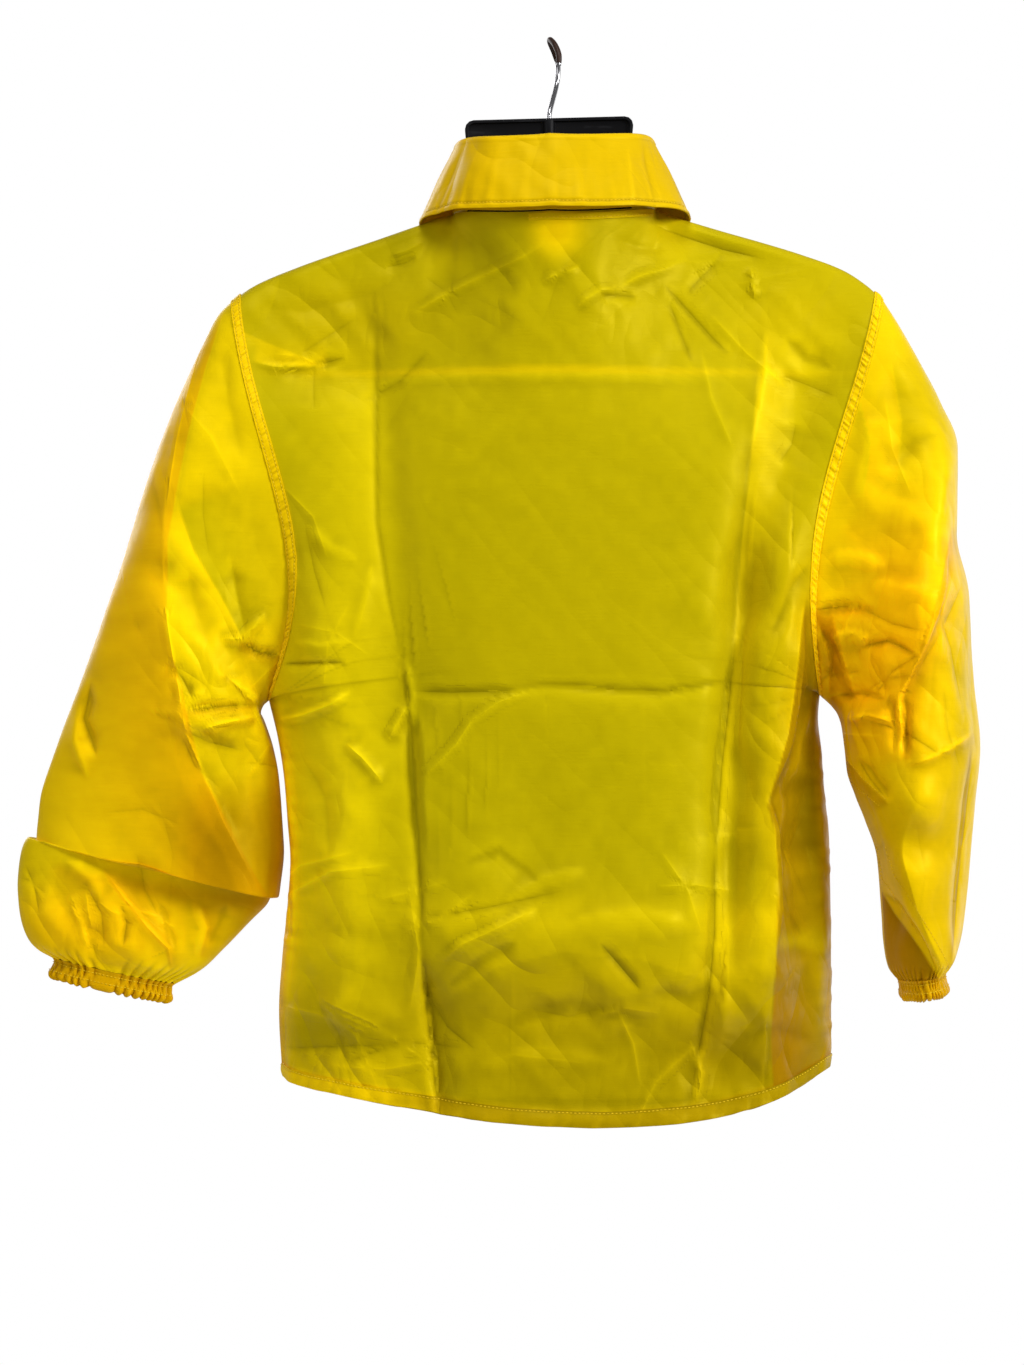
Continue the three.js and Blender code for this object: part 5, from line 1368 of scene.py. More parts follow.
def nylon(name, single, double, deep, rib=1.0):
    """Thin woven nylon: olive where one layer hangs over the dark inside, yellow where it is doubled,
    and orange where it turns from the light."""
    finish = Finish(
        name,
        Specular_IOR_Level=0.32,
        Specular_Tint=(1.0, 0.78, 0.01, 1.0),
        Sheen_Weight=0.05,
        Sheen_Roughness=0.4,
        Sheen_Tint=(1.0, 0.72, 0.05, 1.0),
    )
    place = finish.place()
    cloud = finish.noise(place, 9.0, 3.0)
    fine = finish.noise(place, 160.0, 3.0, 0.6)
    ribs = finish.noise(finish.place((60.0, 60.0, 760.0)), 1.0, 2.0, 0.6)
    grain = finish.noise(finish.place((700.0, 700.0, 90.0)), 1.0, 2.0, 0.6)
    tone = finish.attribute("tone") + (cloud - 0.5) * 0.1
    crush = finish.attribute("crush")
    creases = 0.02 * finish.creases(0.6, (1.2, 1.2, 0.36), 11.0)
    creases = creases + 0.009 * finish.creases(-0.75, (1.2, 1.2, 0.3), 27.0)
    creases = creases + 0.0014 * finish.creases(0.2, (1.0, 1.0, 0.5), 70.0)
    off = finish.attribute("fold")
    sharp = finish.attribute("sharp")
    # Painted light and shade along each crisp crease: a light line on a ridge and a dark line in a valley
    painted_crease_line = sharp / (1.0 + off * off * 0.9)
    cusp = sharp / (1.0 + 0.45 * finish.size(off))
    light = finish.attribute("light") * (0.935 + 0.06 * fine + 0.075 * ribs) * (1.0 + 0.22 * painted_crease_line)
    colour = finish.mix(tone * 2.0, rgba(single), rgba(double))
    colour = finish.mix(tone * 2.0 - 1.0, colour, rgba(deep))
    # The painted light and shade carried by each piece scale the colour
    colour = finish.scaled(colour, light)
    normal = finish.bump(creases * crush + 0.0013 * cusp, 1.0, 1.0)
    normal = finish.bump(ribs, 0.3 * rib, 0.0004, normal)
    normal = finish.bump(grain, 0.12 * rib, 0.0003, normal)
    rough = 0.36 + 0.12 * fine
    return finish.feed(Base_Color=colour, Roughness=rough, Normal=normal)


def thread(name, colour):
    finish = Finish(name, Specular_IOR_Level=0.3, Specular_Tint=(1.0, 0.85, 0.2, 1.0))
    twist = finish.wave(finish.place(), 900.0, "DIAGONAL", 0.4)
    light = 0.82 + 0.3 * twist
    shade = finish.mix(light, (0.3, 0.15, 0.0, 1.0), rgba(colour))
    return finish.feed(Base_Color=shade, Roughness=0.5 + 0.1 * twist, Normal=finish.bump(twist, 0.4, 0.0002))


def woven_label(name, colour):
    finish = Finish(name, Specular_IOR_Level=0.2, Sheen_Weight=0.1)
    warp = finish.wave(finish.place(), 420.0, "X", 0.3)
    weft = finish.wave(finish.place(), 420.0, "Z", 0.3)
    weave = warp * 0.5 + weft * 0.5
    shade = finish.mix(weave, rgba(tuple(c * 0.82 for c in colour)), rgba(colour))
    rough = 0.66 + 0.12 * weave
    return finish.feed(Base_Color=shade, Roughness=rough, Normal=finish.bump(weave, 0.4, 0.0003))


def moulded_plastic(name, colour):
    finish = Finish(name, Specular_IOR_Level=0.12)
    place = finish.place()
    grain = finish.noise(place, 700.0, 2.0)
    scuff = finish.noise(finish.place((40.0, 40.0, 260.0)), 1.0, 4.0, 0.65)
    worn = scuff.above(0.62, 0.06)
    shade = finish.mix(worn * 0.25, rgba(colour), (0.03, 0.03, 0.034, 1.0))
    rough = 0.42 + 0.12 * grain + 0.14 * worn
    return finish.feed(Base_Color=shade, Roughness=rough, Normal=finish.bump(grain, 0.12, 0.0002))


def drawn_steel(name):
    finish = Finish(name, Specular_IOR_Level=0.6)
    place = finish.place()
    draw = finish.noise(finish.place((900.0, 900.0, 60.0)), 1.0, 2.0)
    dull = finish.noise(place, 60.0, 3.0).above(0.6, 0.1)
    shade = finish.mix(dull * 0.4, (0.5, 0.5, 0.52, 1.0), (0.2, 0.2, 0.2, 1.0))
    rough = 0.16 + 0.1 * draw + 0.2 * dull
    finish.shader.inputs["Metallic"].default_value = 1.0
    return finish.feed(Base_Color=shade, Roughness=rough, Normal=finish.bump(draw, 0.15, 0.0002))


def dark_sleeve(name):
    finish = Finish(name, Specular_IOR_Level=0.3)
    place = finish.place()
    mottle = finish.noise(place, 90.0, 3.0)
    shade = finish.mix(mottle, (0.012, 0.006, 0.004, 1.0), (0.05, 0.018, 0.008, 1.0))
    rough = 0.42 + 0.12 * mottle
    return finish.feed(Base_Color=shade, Roughness=rough, Normal=finish.bump(mottle, 0.05, 0.0002))


def snap_finish(name, colour):
    finish = Finish(name, Specular_IOR_Level=0.5, Coat_Roughness=0.2)
    place = finish.place()
    chips = finish.noise(place, 300.0, 3.0).above(0.7, 0.05)
    fine = finish.noise(place, 900.0, 2.0)
    shade = finish.mix(chips * 0.5, rgba(colour), (0.5, 0.42, 0.2, 1.0))
    return finish.feed(Base_Color=shade, Roughness=0.28 + 0.1 * fine, Normal=finish.bump(fine, 0.08, 0.0002))


def floor_finish(name):
    finish = Finish(name, Specular_IOR_Level=0.2)
    mottle = finish.noise(finish.place(), 3.0, 4.0)
    shade = finish.mix(mottle, (0.80, 0.80, 0.79, 1.0), (0.86, 0.86, 0.85, 1.0))
    return finish.feed(Base_Color=shade, Roughness=0.7 + 0.1 * mottle)


_made = {}


def material(kind):
    """Each finish is made once, from the colours in the panel."""
    colours = bpy.context.scene.jacket_colours
    # The third colour is for several layers and for painted shade where the cloth turns from the light
    layers = (colours.single_layer, colours.double_layer, colours.deep_layer_and_shade)
    makers = {
        "shell": lambda: nylon("nylon_shell", *layers),
        "sleeves": lambda: nylon("nylon_sleeve", *layers),
        "cuffs": lambda: nylon("nylon_gathered", *layers, 1.4),
        "thread": lambda: thread("sewing_thread", colours.thread),
        "label": lambda: woven_label("woven_label", colours.label),
        "plastic": lambda: moulded_plastic("black_plastic", colours.plastic),
        "steel": lambda: drawn_steel("hook_wire"),
        "tip": lambda: dark_sleeve("hook_tip"),
        "snaps": lambda: snap_finish("snap_caps", colours.snaps),
        "floor": lambda: floor_finish("studio_floor"),
    }
    if kind not in _made:
        _made[kind] = makers[kind]()
    return _made[kind]


# Stitching


def stitch_tree():
    """Geometry nodes that lay one stitch at each step along the drawn seam lines."""
    tree = bpy.data.node_groups.new("Stitch rows", "GeometryNodeTree")
    sockets = {}
    tree.interface.new_socket("Geometry", in_out="INPUT", socket_type="NodeSocketGeometry")
    for name, kind in (
        ("Pitch", "NodeSocketFloat"),
        ("Length", "NodeSocketFloat"),
        ("Width", "NodeSocketFloat"),
        ("Height", "NodeSocketFloat"),
        ("Unevenness", "NodeSocketFloat"),
        ("Seed", "NodeSocketInt"),
        ("Thread", "NodeSocketMaterial"),
    ):
        sockets[name] = tree.interface.new_socket(name, in_out="INPUT", socket_type=kind).identifier
    tree.interface.new_socket("Geometry", in_out="OUTPUT", socket_type="NodeSocketGeometry")
    new, link = tree.nodes.new, tree.links.new
    entry, leave = new("NodeGroupInput"), new("NodeGroupOutput")
    curve, steps = new("GeometryNodeMeshToCurve"), new("GeometryNodeResampleCurve")
    steps.mode = "LENGTH"
    link(entry.outputs["Geometry"], curve.inputs["Mesh"])
    link(curve.outputs["Curve"], steps.inputs["Curve"])
    link(entry.outputs["Pitch"], steps.inputs["Length"])
    ball = new("GeometryNodeMeshUVSphere")
    ball.inputs["Segments"].default_value = 6
    ball.inputs["Rings"].default_value = 4
    ball.inputs["Radius"].default_value = 0.5
    up = new("GeometryNodeInputNamedAttribute")
    up.data_type = "FLOAT_VECTOR"
    up.inputs["Name"].default_value = "up"
    tangent = new("GeometryNodeInputTangent")
    lie, stand = new("FunctionNodeAlignRotationToVector"), new("FunctionNodeAlignRotationToVector")
    lie.axis, stand.axis, stand.pivot_axis = "X", "Z", "X"
    link(tangent.outputs["Tangent"], lie.inputs["Vector"])
    link(lie.outputs["Rotation"], stand.inputs["Rotation"])
    link(up.outputs["Attribute"], stand.inputs["Vector"])
    size = new("ShaderNodeCombineXYZ")
    for key, axis in (("Length", "X"), ("Width", "Y"), ("Height", "Z")):
        link(entry.outputs[key], size.inputs[axis])
    change = new("FunctionNodeRandomValue")
    change.data_type = "FLOAT"
    low, high = new("ShaderNodeMath"), new("ShaderNodeMath")
    low.operation, high.operation = "SUBTRACT", "ADD"
    low.inputs[0].default_value = high.inputs[0].default_value = 1.0
    link(entry.outputs["Unevenness"], low.inputs[1])
    link(entry.outputs["Unevenness"], high.inputs[1])
    numbers = [s for s in change.inputs if s.type == "VALUE"]
    link(low.outputs[0], numbers[0])
    link(high.outputs[0], numbers[1])
    link(entry.outputs["Seed"], change.inputs["Seed"])
    uneven = new("ShaderNodeVectorMath")
    uneven.operation = "SCALE"
    link(size.outputs["Vector"], uneven.inputs[0])
    link([s for s in change.outputs if s.type == "VALUE"][0], uneven.inputs["Scale"])
    lay = new("GeometryNodeInstanceOnPoints")
    link(steps.outputs["Curve"], lay.inputs["Points"])
    link(ball.outputs["Mesh"], lay.inputs["Instance"])
    link(stand.outputs["Rotation"], lay.inputs["Rotation"])
    link(uneven.outputs["Vector"], lay.inputs["Scale"])
    real, paint = new("GeometryNodeRealizeInstances"), new("GeometryNodeSetMaterial")
    link(lay.outputs["Instances"], real.inputs["Geometry"])
    link(real.outputs["Geometry"], paint.inputs["Geometry"])
    link(entry.outputs["Thread"], paint.inputs["Material"])
    link(paint.outputs["Geometry"], leave.inputs["Geometry"])
    return tree, sockets


def sew(name, lines, pitch=None):
    """A piece of stitches along lines, each a pair of points and normals in millimetres."""
    sizes = bpy.context.scene.jacket_sizes
    points, ups, edges = [], [], []
    for line, normals in lines:
        start = sum(len(p) for p in points)
        points.append(line * MM)
        ups.append(normals)
        edges += [(start + k, start + k + 1) for k in range(len(line) - 1)]
    mesh = bpy.data.meshes.new(name)
    mesh.from_pydata(np.concatenate(points).tolist(), edges, [])
    layer = mesh.attributes.new("up", "FLOAT_VECTOR", "POINT")
    layer.data.foreach_set("vector", np.concatenate(ups).astype(np.float32).ravel())
    drawn = bpy.data.objects.new(name + "_line", mesh)
    bpy.context.scene.collection.objects.link(drawn)
    tree, sockets = stitch_tree()
    modifier = drawn.modifiers.new("Stitches", "NODES")
    modifier.node_group = tree
    modifier[sockets["Pitch"]] = pitch or sizes.stitch_pitch
    modifier[sockets["Length"]] = (pitch or sizes.stitch_pitch) * 0.74
    modifier[sockets["Width"]] = sizes.thread_width
    modifier[sockets["Height"]] = sizes.thread_width * 0.9
    modifier[sockets["Unevenness"]] = 0.1
    modifier[sockets["Seed"]] = 5
    modifier[sockets["Thread"]] = material("thread")
    drawn.update_tag()
    seen = drawn.evaluated_get(bpy.context.evaluated_depsgraph_get())
    sewn = bpy.data.meshes.new_from_object(seen)
    if not len(sewn.polygons):
        raise RuntimeError(f"{name}: no stitches were made")
    bpy.data.objects.remove(drawn)
    if not sewn.materials:
        sewn.materials.append(material("thread"))
    sewn.polygons.foreach_set("use_smooth", np.ones(len(sewn.polygons), bool))
    piece = bpy.data.objects.new(name, sewn)
    bpy.context.scene.collection.objects.link(piece)
    return dress(piece, "shell_cloth")


# Grids over the garment


def spread(count, dense):
    """Numbers from 0 to 1, closer together near both ends by dense."""
    u = np.linspace(0, 1, count)
    return u - dense * np.sin(2 * np.pi * u) / (2 * np.pi)


def body_rows(armhole_rows, side_rows):
    upper = PIT_DOWN * spread(armhole_rows + 1, 0.45)
    return np.concatenate([upper, np.linspace(PIT_DOWN, 1, side_rows + 1)[1:]])


HALF_SPAN = (SIDES["left"]["tipX"] - SIDES["right"]["tipX"]) / 2
NECK_ACROSS = NECK_HALF_WIDTH / HALF_SPAN


def side_places(count):
    """Places from the neck's corner out to the side seam, denser near the seam."""
    u = np.linspace(0, 1, count)
    return lerp(NECK_ACROSS, 1, u + 0.1 * np.sin(np.pi * u))


def tones(part, x, z, crumpled):
    """How doubled, how light or dark it is painted (painted light and shade) and how crumpled a part's cloth
    is at places of the flat view.
    """
    tone, light, crush = (np.full(x.shape, value) for value in (BASE_TONES[part], 1.0, crumpled))
    for mid_x, mid_z, wide, tall, more, lighter, rougher in TONES[part]:
        near = np.exp(-(((x - mid_x) / wide) ** 2 + ((z - mid_z) / tall) ** 2) ** 1.4)
        tone += more * near
        light += lighter * near
        crush += rougher * near
    return tone, light, crush


def sizes():
    return bpy.context.scene.jacket_sizes


def build_panel(face, across, sink=None):
    down = body_rows(154, 122)[:, None]
    points, normals = body_cloth(face, across[None, :], down)
    if sink is not None:
        points = points - normals * sink[None, :, None]
    x, z = points[..., 0], points[..., 2]
    tone, light, crush = tones(face, x, z, PANEL_CRUSH)
    shade(SHADES.get(face, ()), x, z, tone, light)
    hem = smooth(down, 0.978, 0.982) + 0 * x
    tone = tone + 0.3 * hem
    edge = smooth(1 - np.abs(across), 0.06, 0)[None, :] + 0 * x
    tone = tone + 0.35 * edge * smooth(-z, 480, 520)
    # Painted shade: darker towards the hem, where the cloth turns down from the light
    light = light * (1 - 0.14 * smooth(-z, 700, 790))
    light = np.maximum(light, DARKEST)
    light = lerp(light, creased_light(points, normals, light), smooth(down, 0.03, 0.1))
    fold, sharp = sharp_lines(all_creases(face), x, z)
    return points, normals, dict(tone=tone, light=light, crush=crush, fold=fold, sharp=sharp)


def build_bodies():
    middle = np.linspace(-NECK_ACROSS, NECK_ACROSS, 91)
    outside = side_places(97)
    across = np.concatenate([-outside[::-1], middle[1:-1], outside])
    thick = sizes().cloth / MM
    made = {}
    points, normals, paint = build_panel("back", across)
    made["back"] = make_shell("back_cloth", points, normals, thick, material("shell"), **paint)
    lap = FRONT_OVERLAP / HALF_SPAN
    inner = np.linspace(-lap, NECK_ACROSS, 57)
    left = np.concatenate([inner[:-1], outside])
    points, normals, paint = build_panel("front", left)
    made["front_left"] = make_shell("front_left_cloth", points, normals, thick, material("shell"), **paint)
    right = -left[::-1]
    sink = 1.9 * smooth(right, -0.19, -0.09)
    points, normals, paint = build_panel("front", right, sink)
    made["front_right"] = make_shell("front_right_cloth", points, normals, thick, material("shell"), **paint)
    for key, piece in made.items():
        dress(piece, "shell_cloth", "back_panel" if key == "back" else key)
    return made


def build_sleeve(side):
    ring = np.linspace(0, 13, 261)[:, None]
    turn = np.linspace(0, 2, 240, endpoint=False)[None, :]
    points, normals = sleeve_cloth(side, ring, turn)
    x, z = points[..., 0], points[..., 2]
    tone, light, crush = tones(f"sleeve_{side}", x, z, SLEEVE_CRUSH)
    low = (ring + 0 * x > 8.6) & (side == "left")
    behind = turn + 0 * x <= 1
    # Painted light and shade of the planes beside each line, on the sleeve's back half
    for part, place in ((f"sleeve_{side}", behind & ~low), (f"sleeve_{side}_low", behind & low)):
        planes = tone.copy(), light.copy()
        shade(SHADES.get(part, ()), x, z, *planes)
        tone, light = np.where(place, planes[0], tone), np.where(place, planes[1], light)
    name = f"sleeve_{side}_cloth"
    light = creased_light(points, normals, np.maximum(light, DARKEST))
    fold, sharp = sharp_lines(all_creases(f"sleeve_{side}"), x, z)
    sharp = np.where(behind, sharp, 0)
    paint = dict(tone=tone, light=light, crush=crush, fold=fold, sharp=sharp)
    piece = make_shell(name, points, normals, sizes().cloth / MM, material("sleeves"), closed=True, **paint)
    if side == "right":
        _pieces["underarm"] = [drawn_on(points[:, :120], normals[:, :120], line) for line in UNDERARM_SEAMS]
    return dress(piece, "shell_cloth", f"sleeve_{side}")


def cuff_points(side, down, turn):
    """The gathered casing below a sleeve's last ring, down from 0 to 1."""
    down, turn = np.broadcast_arrays(down, turn)
    last = {name: SLEEVES[side][name][-1] for name in SLEEVES[side]}
    outer, inner = (np.array([last[end + "X"], last["midY"], last[end + "Z"]]) for end in ("outer", "inner"))
    middle, across = (outer + inner) / 2, inner - outer
    half = np.linalg.norm(across) / 2
    across = unit(across)
    along = np.array([-across[2], 0, across[0]]) * SIGNS[side]
    angle = np.pi * turn
    size = read(CUFF, "down", "size", down)
    seed = 44 if side == "left" else 60
    wave, rim = gather(angle, seed), gather(angle + 0.06, seed)
    swell = lerp(wave, rim, smooth(down, 0.3, 0.8)) * (1.5 + 0.5 * smooth(down, 0.5, 0.8)) - 0.8
    deep = np.where(turn <= 1, last["back"], last["front"])
    share = (1 - np.cos(angle)) / 2
    soft = np.where(turn <= 1, last["soft"], 2.2)
    curve = (1 - (1 - np.minimum(share, 1 - share) * 2) ** soft) ** (1 / soft)
    flat = stack(0 * down, np.where(turn <= 1, 1, -1) * deep * curve * size, 0 * down)
    flat = flat - across * (half * size * np.cos(angle))[..., None]
    out = unit(stack(0, np.sin(angle) / last["back"], 0) - across * (np.cos(angle) / half)[..., None])
    hang = CUFF_HEIGHT * down + 1.3 * rim * smooth(down, 0.5, 1)
    return middle + flat + along * (0.2 + hang)[..., None] + out * swell[..., None], out


def build_cuff(side):
    down = np.linspace(0, 1, 21)[:, None]
    turn = np.linspace(0, 2, 420, endpoint=False)[None, :]
    points, out = cuff_points(side, down, turn)
    # Painted shade: the cuff's cloth is painted darker, with painted light and shade along its gathers
    light = creased_light(points, out, 0.76)
    piece = make_shell(f"cuff_{side}_cloth", points, out, 1.2, material("cuffs"), 0.9, light, 0.3, True)
    return dress(piece, "cuff_cloth", f"cuff_{side}")


def build_collar():
    degrees = np.linspace(-COLLAR_END, COLLAR_END, 341)[None, :]
    foot, fold, fall = np.linspace(-1, -0.3, 5), np.linspace(-0.3, 0.2, 17), np.linspace(0.2, 1, 73)
    line = np.concatenate([foot[:-1], fold[:-1], fall])[:, None]
    points, normals = collar_cloth(degrees, line)
    tone = 0.62 + 0.1 * smooth(degrees, 10, 70) + 0 * points[..., 0]
    # Painted light: the leaf painted lighter towards its left end as seen from behind, and painted shade in
    # the groove of its topstitching near the edge
    light = 0.8 + 0.12 * smooth(degrees, 10, 40) + 0 * points[..., 0]
    light = light * (1 - 0.14 * np.exp(-((((1 - line) * 56 - 3.8) / 1.2) ** 2)))
    light = creased_light(points, normals, light)
    leaf = make_shell("collar_leaf", points, normals, 1.1, material("shell"), tone, light)
    heights = np.linspace(0, 1, 17)[:, None]
    degrees = np.linspace(-COLLAR_END, COLLAR_END, 221)[None, :]
    wide_degrees = degrees + 0 * heights
    seam, out, _ = neck_seam(wide_degrees)
    up, lean = (read(COLLAR, "round", name, np.abs(wide_degrees)) for name in ("up", "out"))
    points = seam + out * (lean * heights + 0.7)[..., None]
    points = points + np.array([0, 0, 1.0]) * lerp(1.2, up - 6.4, heights)[..., None]
    lift = 0.5 * ripple(wide_degrees, heights * 40, 16, 20, 91)
    points = points + out * lift[..., None]
    stand = make_shell("collar_stand_cloth", points, out, 1.1, material("shell"), 0.6 + 0 * lift, 1.0)
    return dress(leaf, "shell_cloth", "collar_fall"), dress(stand, "shell_cloth", "collar_stand")


def surface_in(face, side, down, inwards):
    """Places on the body at distances in from a side's seam, for each place down it."""
    reach = np.linspace(0, 0.1, 16)
    sign = SIGNS[side]
    line = body(face, sign * (1 - reach)[None, :], down[:, None])
    step = np.linalg.norm(np.diff(line, axis=1), axis=-1)
    gone = np.concatenate([np.zeros((len(down), 1)), np.cumsum(step, axis=1)], axis=1)
    return np.array([sign * (1 - np.interp(inwards, gone[k], reach)) for k in range(len(down))])


def build_band(side):
    """The felled seam round an armhole: a strip of folded cloth on the body's side of it."""
    wide = sizes().seam_band / MM
    share = spread(541, 0.5)
    inwards = np.linspace(0.2, wide, 11)
    rows_of_stitches = (2, 8)
    strips = []
    rows = []
    for face in ("back", "front"):
        down = PIT_DOWN * share if face == "back" else PIT_DOWN * share[::-1]
        across = surface_in(face, side, down, inwards)
        points, normals = body_cloth(face, across, down[:, None] + 0 * across)
        crown = 0.8 + 0.3 * np.sin(np.pi * (inwards - 0.2) / (wide - 0.2)) ** 0.5
        crown[list(rows_of_stitches)] -= 0.3
        length = share * 700 + (0 if face == "back" else 900)
        length = length if face == "back" else length[::-1]
        pucker = ripple(*np.broadcast_arrays(length[:, None], inwards), 4.2, 7, 97 + (side == "left"))
        high = crown[None, :] + 0.5 * pucker * (0.4 + np.sin(np.pi * inwards / wide)[None, :])
        points = points + normals * high[..., None]
        strips.append(points)
        rows.append(normals)
    points = np.concatenate([strips[0], strips[1][1:-1]])
    normals = np.concatenate([rows[0], rows[1][1:-1]])
    points, normals = points.transpose(1, 0, 2), normals.transpose(1, 0, 2)
    # Painted light: the right band painted lighter than the left, and painted shade along its sunken rows of
    # stitches
    light = np.full(points.shape[:2], 0.97 if side == "left" else 1.12)
    light[list(rows_of_stitches)] *= 0.8
    light = creased_light(points, normals, light)
    name = f"armhole_band_{side}"
    band = make_shell(name, points, normals, 0.75, material("shell"), 0.62, light, 0.1, True)
    dress(band, "shell_cloth")
    lines = []
    for at in rows_of_stitches:
        line, up = points[at] + normals[at] * 0.15, normals[at]
        lines.append((np.concatenate([line, line[:1]]), np.concatenate([up, up[:1]])))
    return band, lines


def build_hem():
    """The doubled casing at the hem, a strip on the outside of each panel's lowest part."""
    pieces, lines = [], []
    tall = sizes().hem / MM / 680
    lap = FRONT_OVERLAP / HALF_SPAN
    for name, face, across in (
        ("hem_back", "back", np.linspace(-0.996, 0.996, 321)),
        ("hem_front_left", "front", np.linspace(-lap + 0.004, 0.996, 171)),
        ("hem_front_right", "front", np.linspace(-0.996, -lap - 0.004, 151)),
    ):
        down = 1 - np.linspace(tall, 0.0005, 9)[:, None]
        points, normals = body_cloth(face, across[None, :], down)
        crown = 0.7 + 0.3 * np.sin(np.pi * (1 - down) / tall)
        twist = ripple(points[..., 0], points[..., 2] + points[..., 0], 7, 16, 131)
        points = points + normals * (crown + 0.5 * twist)[..., None]
        # Painted light and shade: the casing painted darker towards its right side as seen from behind, and
        # darker along its upper edge where the stitches run
        light = 0.46 + 0.66 * smooth(points[..., 0], 60, 150)
        light[:2] *= 0.8
        light = creased_light(points, normals, light)
        piece = make_shell(name, points, normals, 0.6, material("shell"), 0.6, light)
        pieces.append(dress(piece, "shell_cloth"))
        lines.append((points[1] + normals[1] * 0.1, normals[1]))
    return pieces, lines


def build_neck_band():
    """The narrow doubled strip on the body just under the collar."""
    across = np.linspace(-NECK_ACROSS * 0.96, 0.08, 161)
    down = np.linspace(0.002, 0.0095, 7)[:, None]
    points, normals = body_cloth("back", across[None, :], down)
    points = points + normals * (0.8 + 0.3 * ripple(points[..., 0], 0 * points[..., 2], 5, 9, 141))[..., None]
    piece = make_shell("neck_band", points, normals, 0.6, material("shell"), 0.4, 1.0)
    return dress(piece, "shell_cloth"), [(points[4] + normals[4] * 0.1, normals[4])]


def down_at(z):
    low, high = 0.0, 1.0
    for _ in range(30):
        middle = (low + high) / 2
        if body("front", 0.0, middle)[2] > z:
            low = middle
        else:
            high = middle
    return (low + high) / 2


def build_placket():
    edge = 16 / HALF_SPAN
    across = np.linspace(-edge, edge, 17)[None, :]
    down = np.linspace(0.0008, 0.9992, 301)[:, None]
    points, normals = body_cloth("front", across, down)
    points = points + normals * 1.6
    placket = make_shell("placket_cloth", points, normals, 1.1, material("shell"), 0.7, 1.0)
    dress(placket, "shell_cloth", "placket")
    lines = [(points[2:-2, at] + normals[2:-2, at] * 0.1, normals[2:-2, at]) for at in (2, 14)]
    return placket, lines


def build_snaps():
    """Press-snap caps: low domes with a rolled rim and a dimple, on the placket."""
    profile = smooth_path(SNAP_PROFILE, 34)
    profile[0, 0] = 0.02
    turn = np.linspace(0, 2 * np.pi, 40, endpoint=False)
    for k in range(SNAPS["count"]):
        down = down_at(SNAPS["top"] - k * SNAPS["pitch"])
        seat, normal = body_cloth("front", 0.0, down)
        seat = seat + normal * 1.65
        side = unit(np.cross(normal, [0, 0, 1.0]))
        third = np.cross(normal, side)
        ring = np.cos(turn)[None, :, None] * side + np.sin(turn)[None, :, None] * third
        points = seat + ring * profile[:, :1, None] + normal * profile[:, 1:, None]
        faces = ring_faces(len(points), len(turn))
        piece = make_mesh(f"snap_cap_{k + 1}", points.reshape(-1, 3), faces, material("snaps"))
        close_ends(piece, len(turn))
        dress(piece, "snap_caps", f"snap_{k + 1}")


def close_ends(piece, around):
    """Caps the first and last rings of a tube or lathe with one face each."""
    form = bmesh.new()
    form.from_mesh(piece.data)
    form.verts.ensure_lookup_table()
    count = len(form.verts)
    form.faces.new([form.verts[k] for k in range(around)])
    form.faces.new([form.verts[count - 1 - k] for k in range(around)])
    bmesh.ops.recalc_face_normals(form, faces=form.faces)
    form.to_mesh(piece.data)
    form.free()
    piece.data.polygons.foreach_set("use_smooth", np.ones(len(piece.data.polygons), bool))
    piece.data.set_sharp_from_angle(angle=math.radians(50))


def build_label():
    places = (LABEL["midX"] - MID_X + np.linspace(-0.5, 0.5, 31) * LABEL["width"]) / HALF_SPAN
    top = (float(shoulder_z(0.0)) - NECK_DROP["back"] - LABEL["top"]) / 690
    down = top + np.linspace(0, 1, 23) * LABEL["height"] / 690
    points, normals = body_cloth("back", places[None, :], down[:, None])
    points = points - normals * 1.5
    label = make_shell("neck_label_cloth", points, normals, 0.7, material("label"), 0.5, 1.0)
    return dress(label, "label_cloth", "neck_label")


def hook_line():
    radius = HOOK_BEND + HOOK_WIRE / 2
    line = [(0, BAR_TOP - 11), (0, BAR_TOP - 6), (0, BAR_TOP), (-0.5, BAR_TOP + 5), (-6, BAR_TOP + 13)]
    for degrees in (-28, -5, 20, 45, 70, 90, 110, 135, 160, 182):
        angle = math.radians(degrees)
        line.append((-radius * math.cos(angle), radius * math.sin(angle) - HOOK_BEND))
    return [(float(read(HOOK_LEAN, "z", "x", z)), y, z) for y, z in line]


def build_hanger():
    path = smooth_path(hook_line(), 150)
    points, faces = tube(path, HOOK_WIRE / 2, 24)
    wire = make_mesh("hook_wire", points, faces, material("steel"))
    close_ends(wire, 24)
    dress(wire, "hook_steel", "hanger_hook")
    ends = path[-72:]
    reach = np.linspace(0, 1, len(ends))
    rounded = np.sqrt(np.maximum(0.06, 1 - np.maximum(0, (reach - 0.95) / 0.05) ** 2))
    radius = 2.15 * np.minimum(1, (reach / 0.03 + 0.9)) * rounded
    points, faces = tube(ends, radius, 24)
    tip = make_mesh("hook_tip_sleeve", points, faces, material("tip"))
    close_ends(tip, 24)
    dress(tip, "hanger_plastic")

    hanger = bpy.data.objects.new("hanger_moulding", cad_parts["hanger_body"].data.copy())
    bpy.context.scene.collection.objects.link(hanger)
    widen_bar(hanger)
    round_edges(hanger, 0.7)
    hanger.data.materials.clear()
    hanger.data.materials.append(material("plastic"))
    dress(hanger, "hanger_plastic", "hanger_body")


def widen_bar(piece):
    """Carries the bar's full width down to the collar's fold, where the moulding narrows."""
    for vertex in piece.data.vertices:
        x, z = vertex.co.x / MM, (vertex.co.z / MM) - SHOULDER_TILT * vertex.co.x / MM
        if 49 < abs(x) < 56 and -76 < z < -72:
            inset = 54 - abs(x)
            vertex.co.x = math.copysign(62.4 - inset, x) * MM
            vertex.co.z = (-71 + SHOULDER_TILT * vertex.co.x / MM) * MM


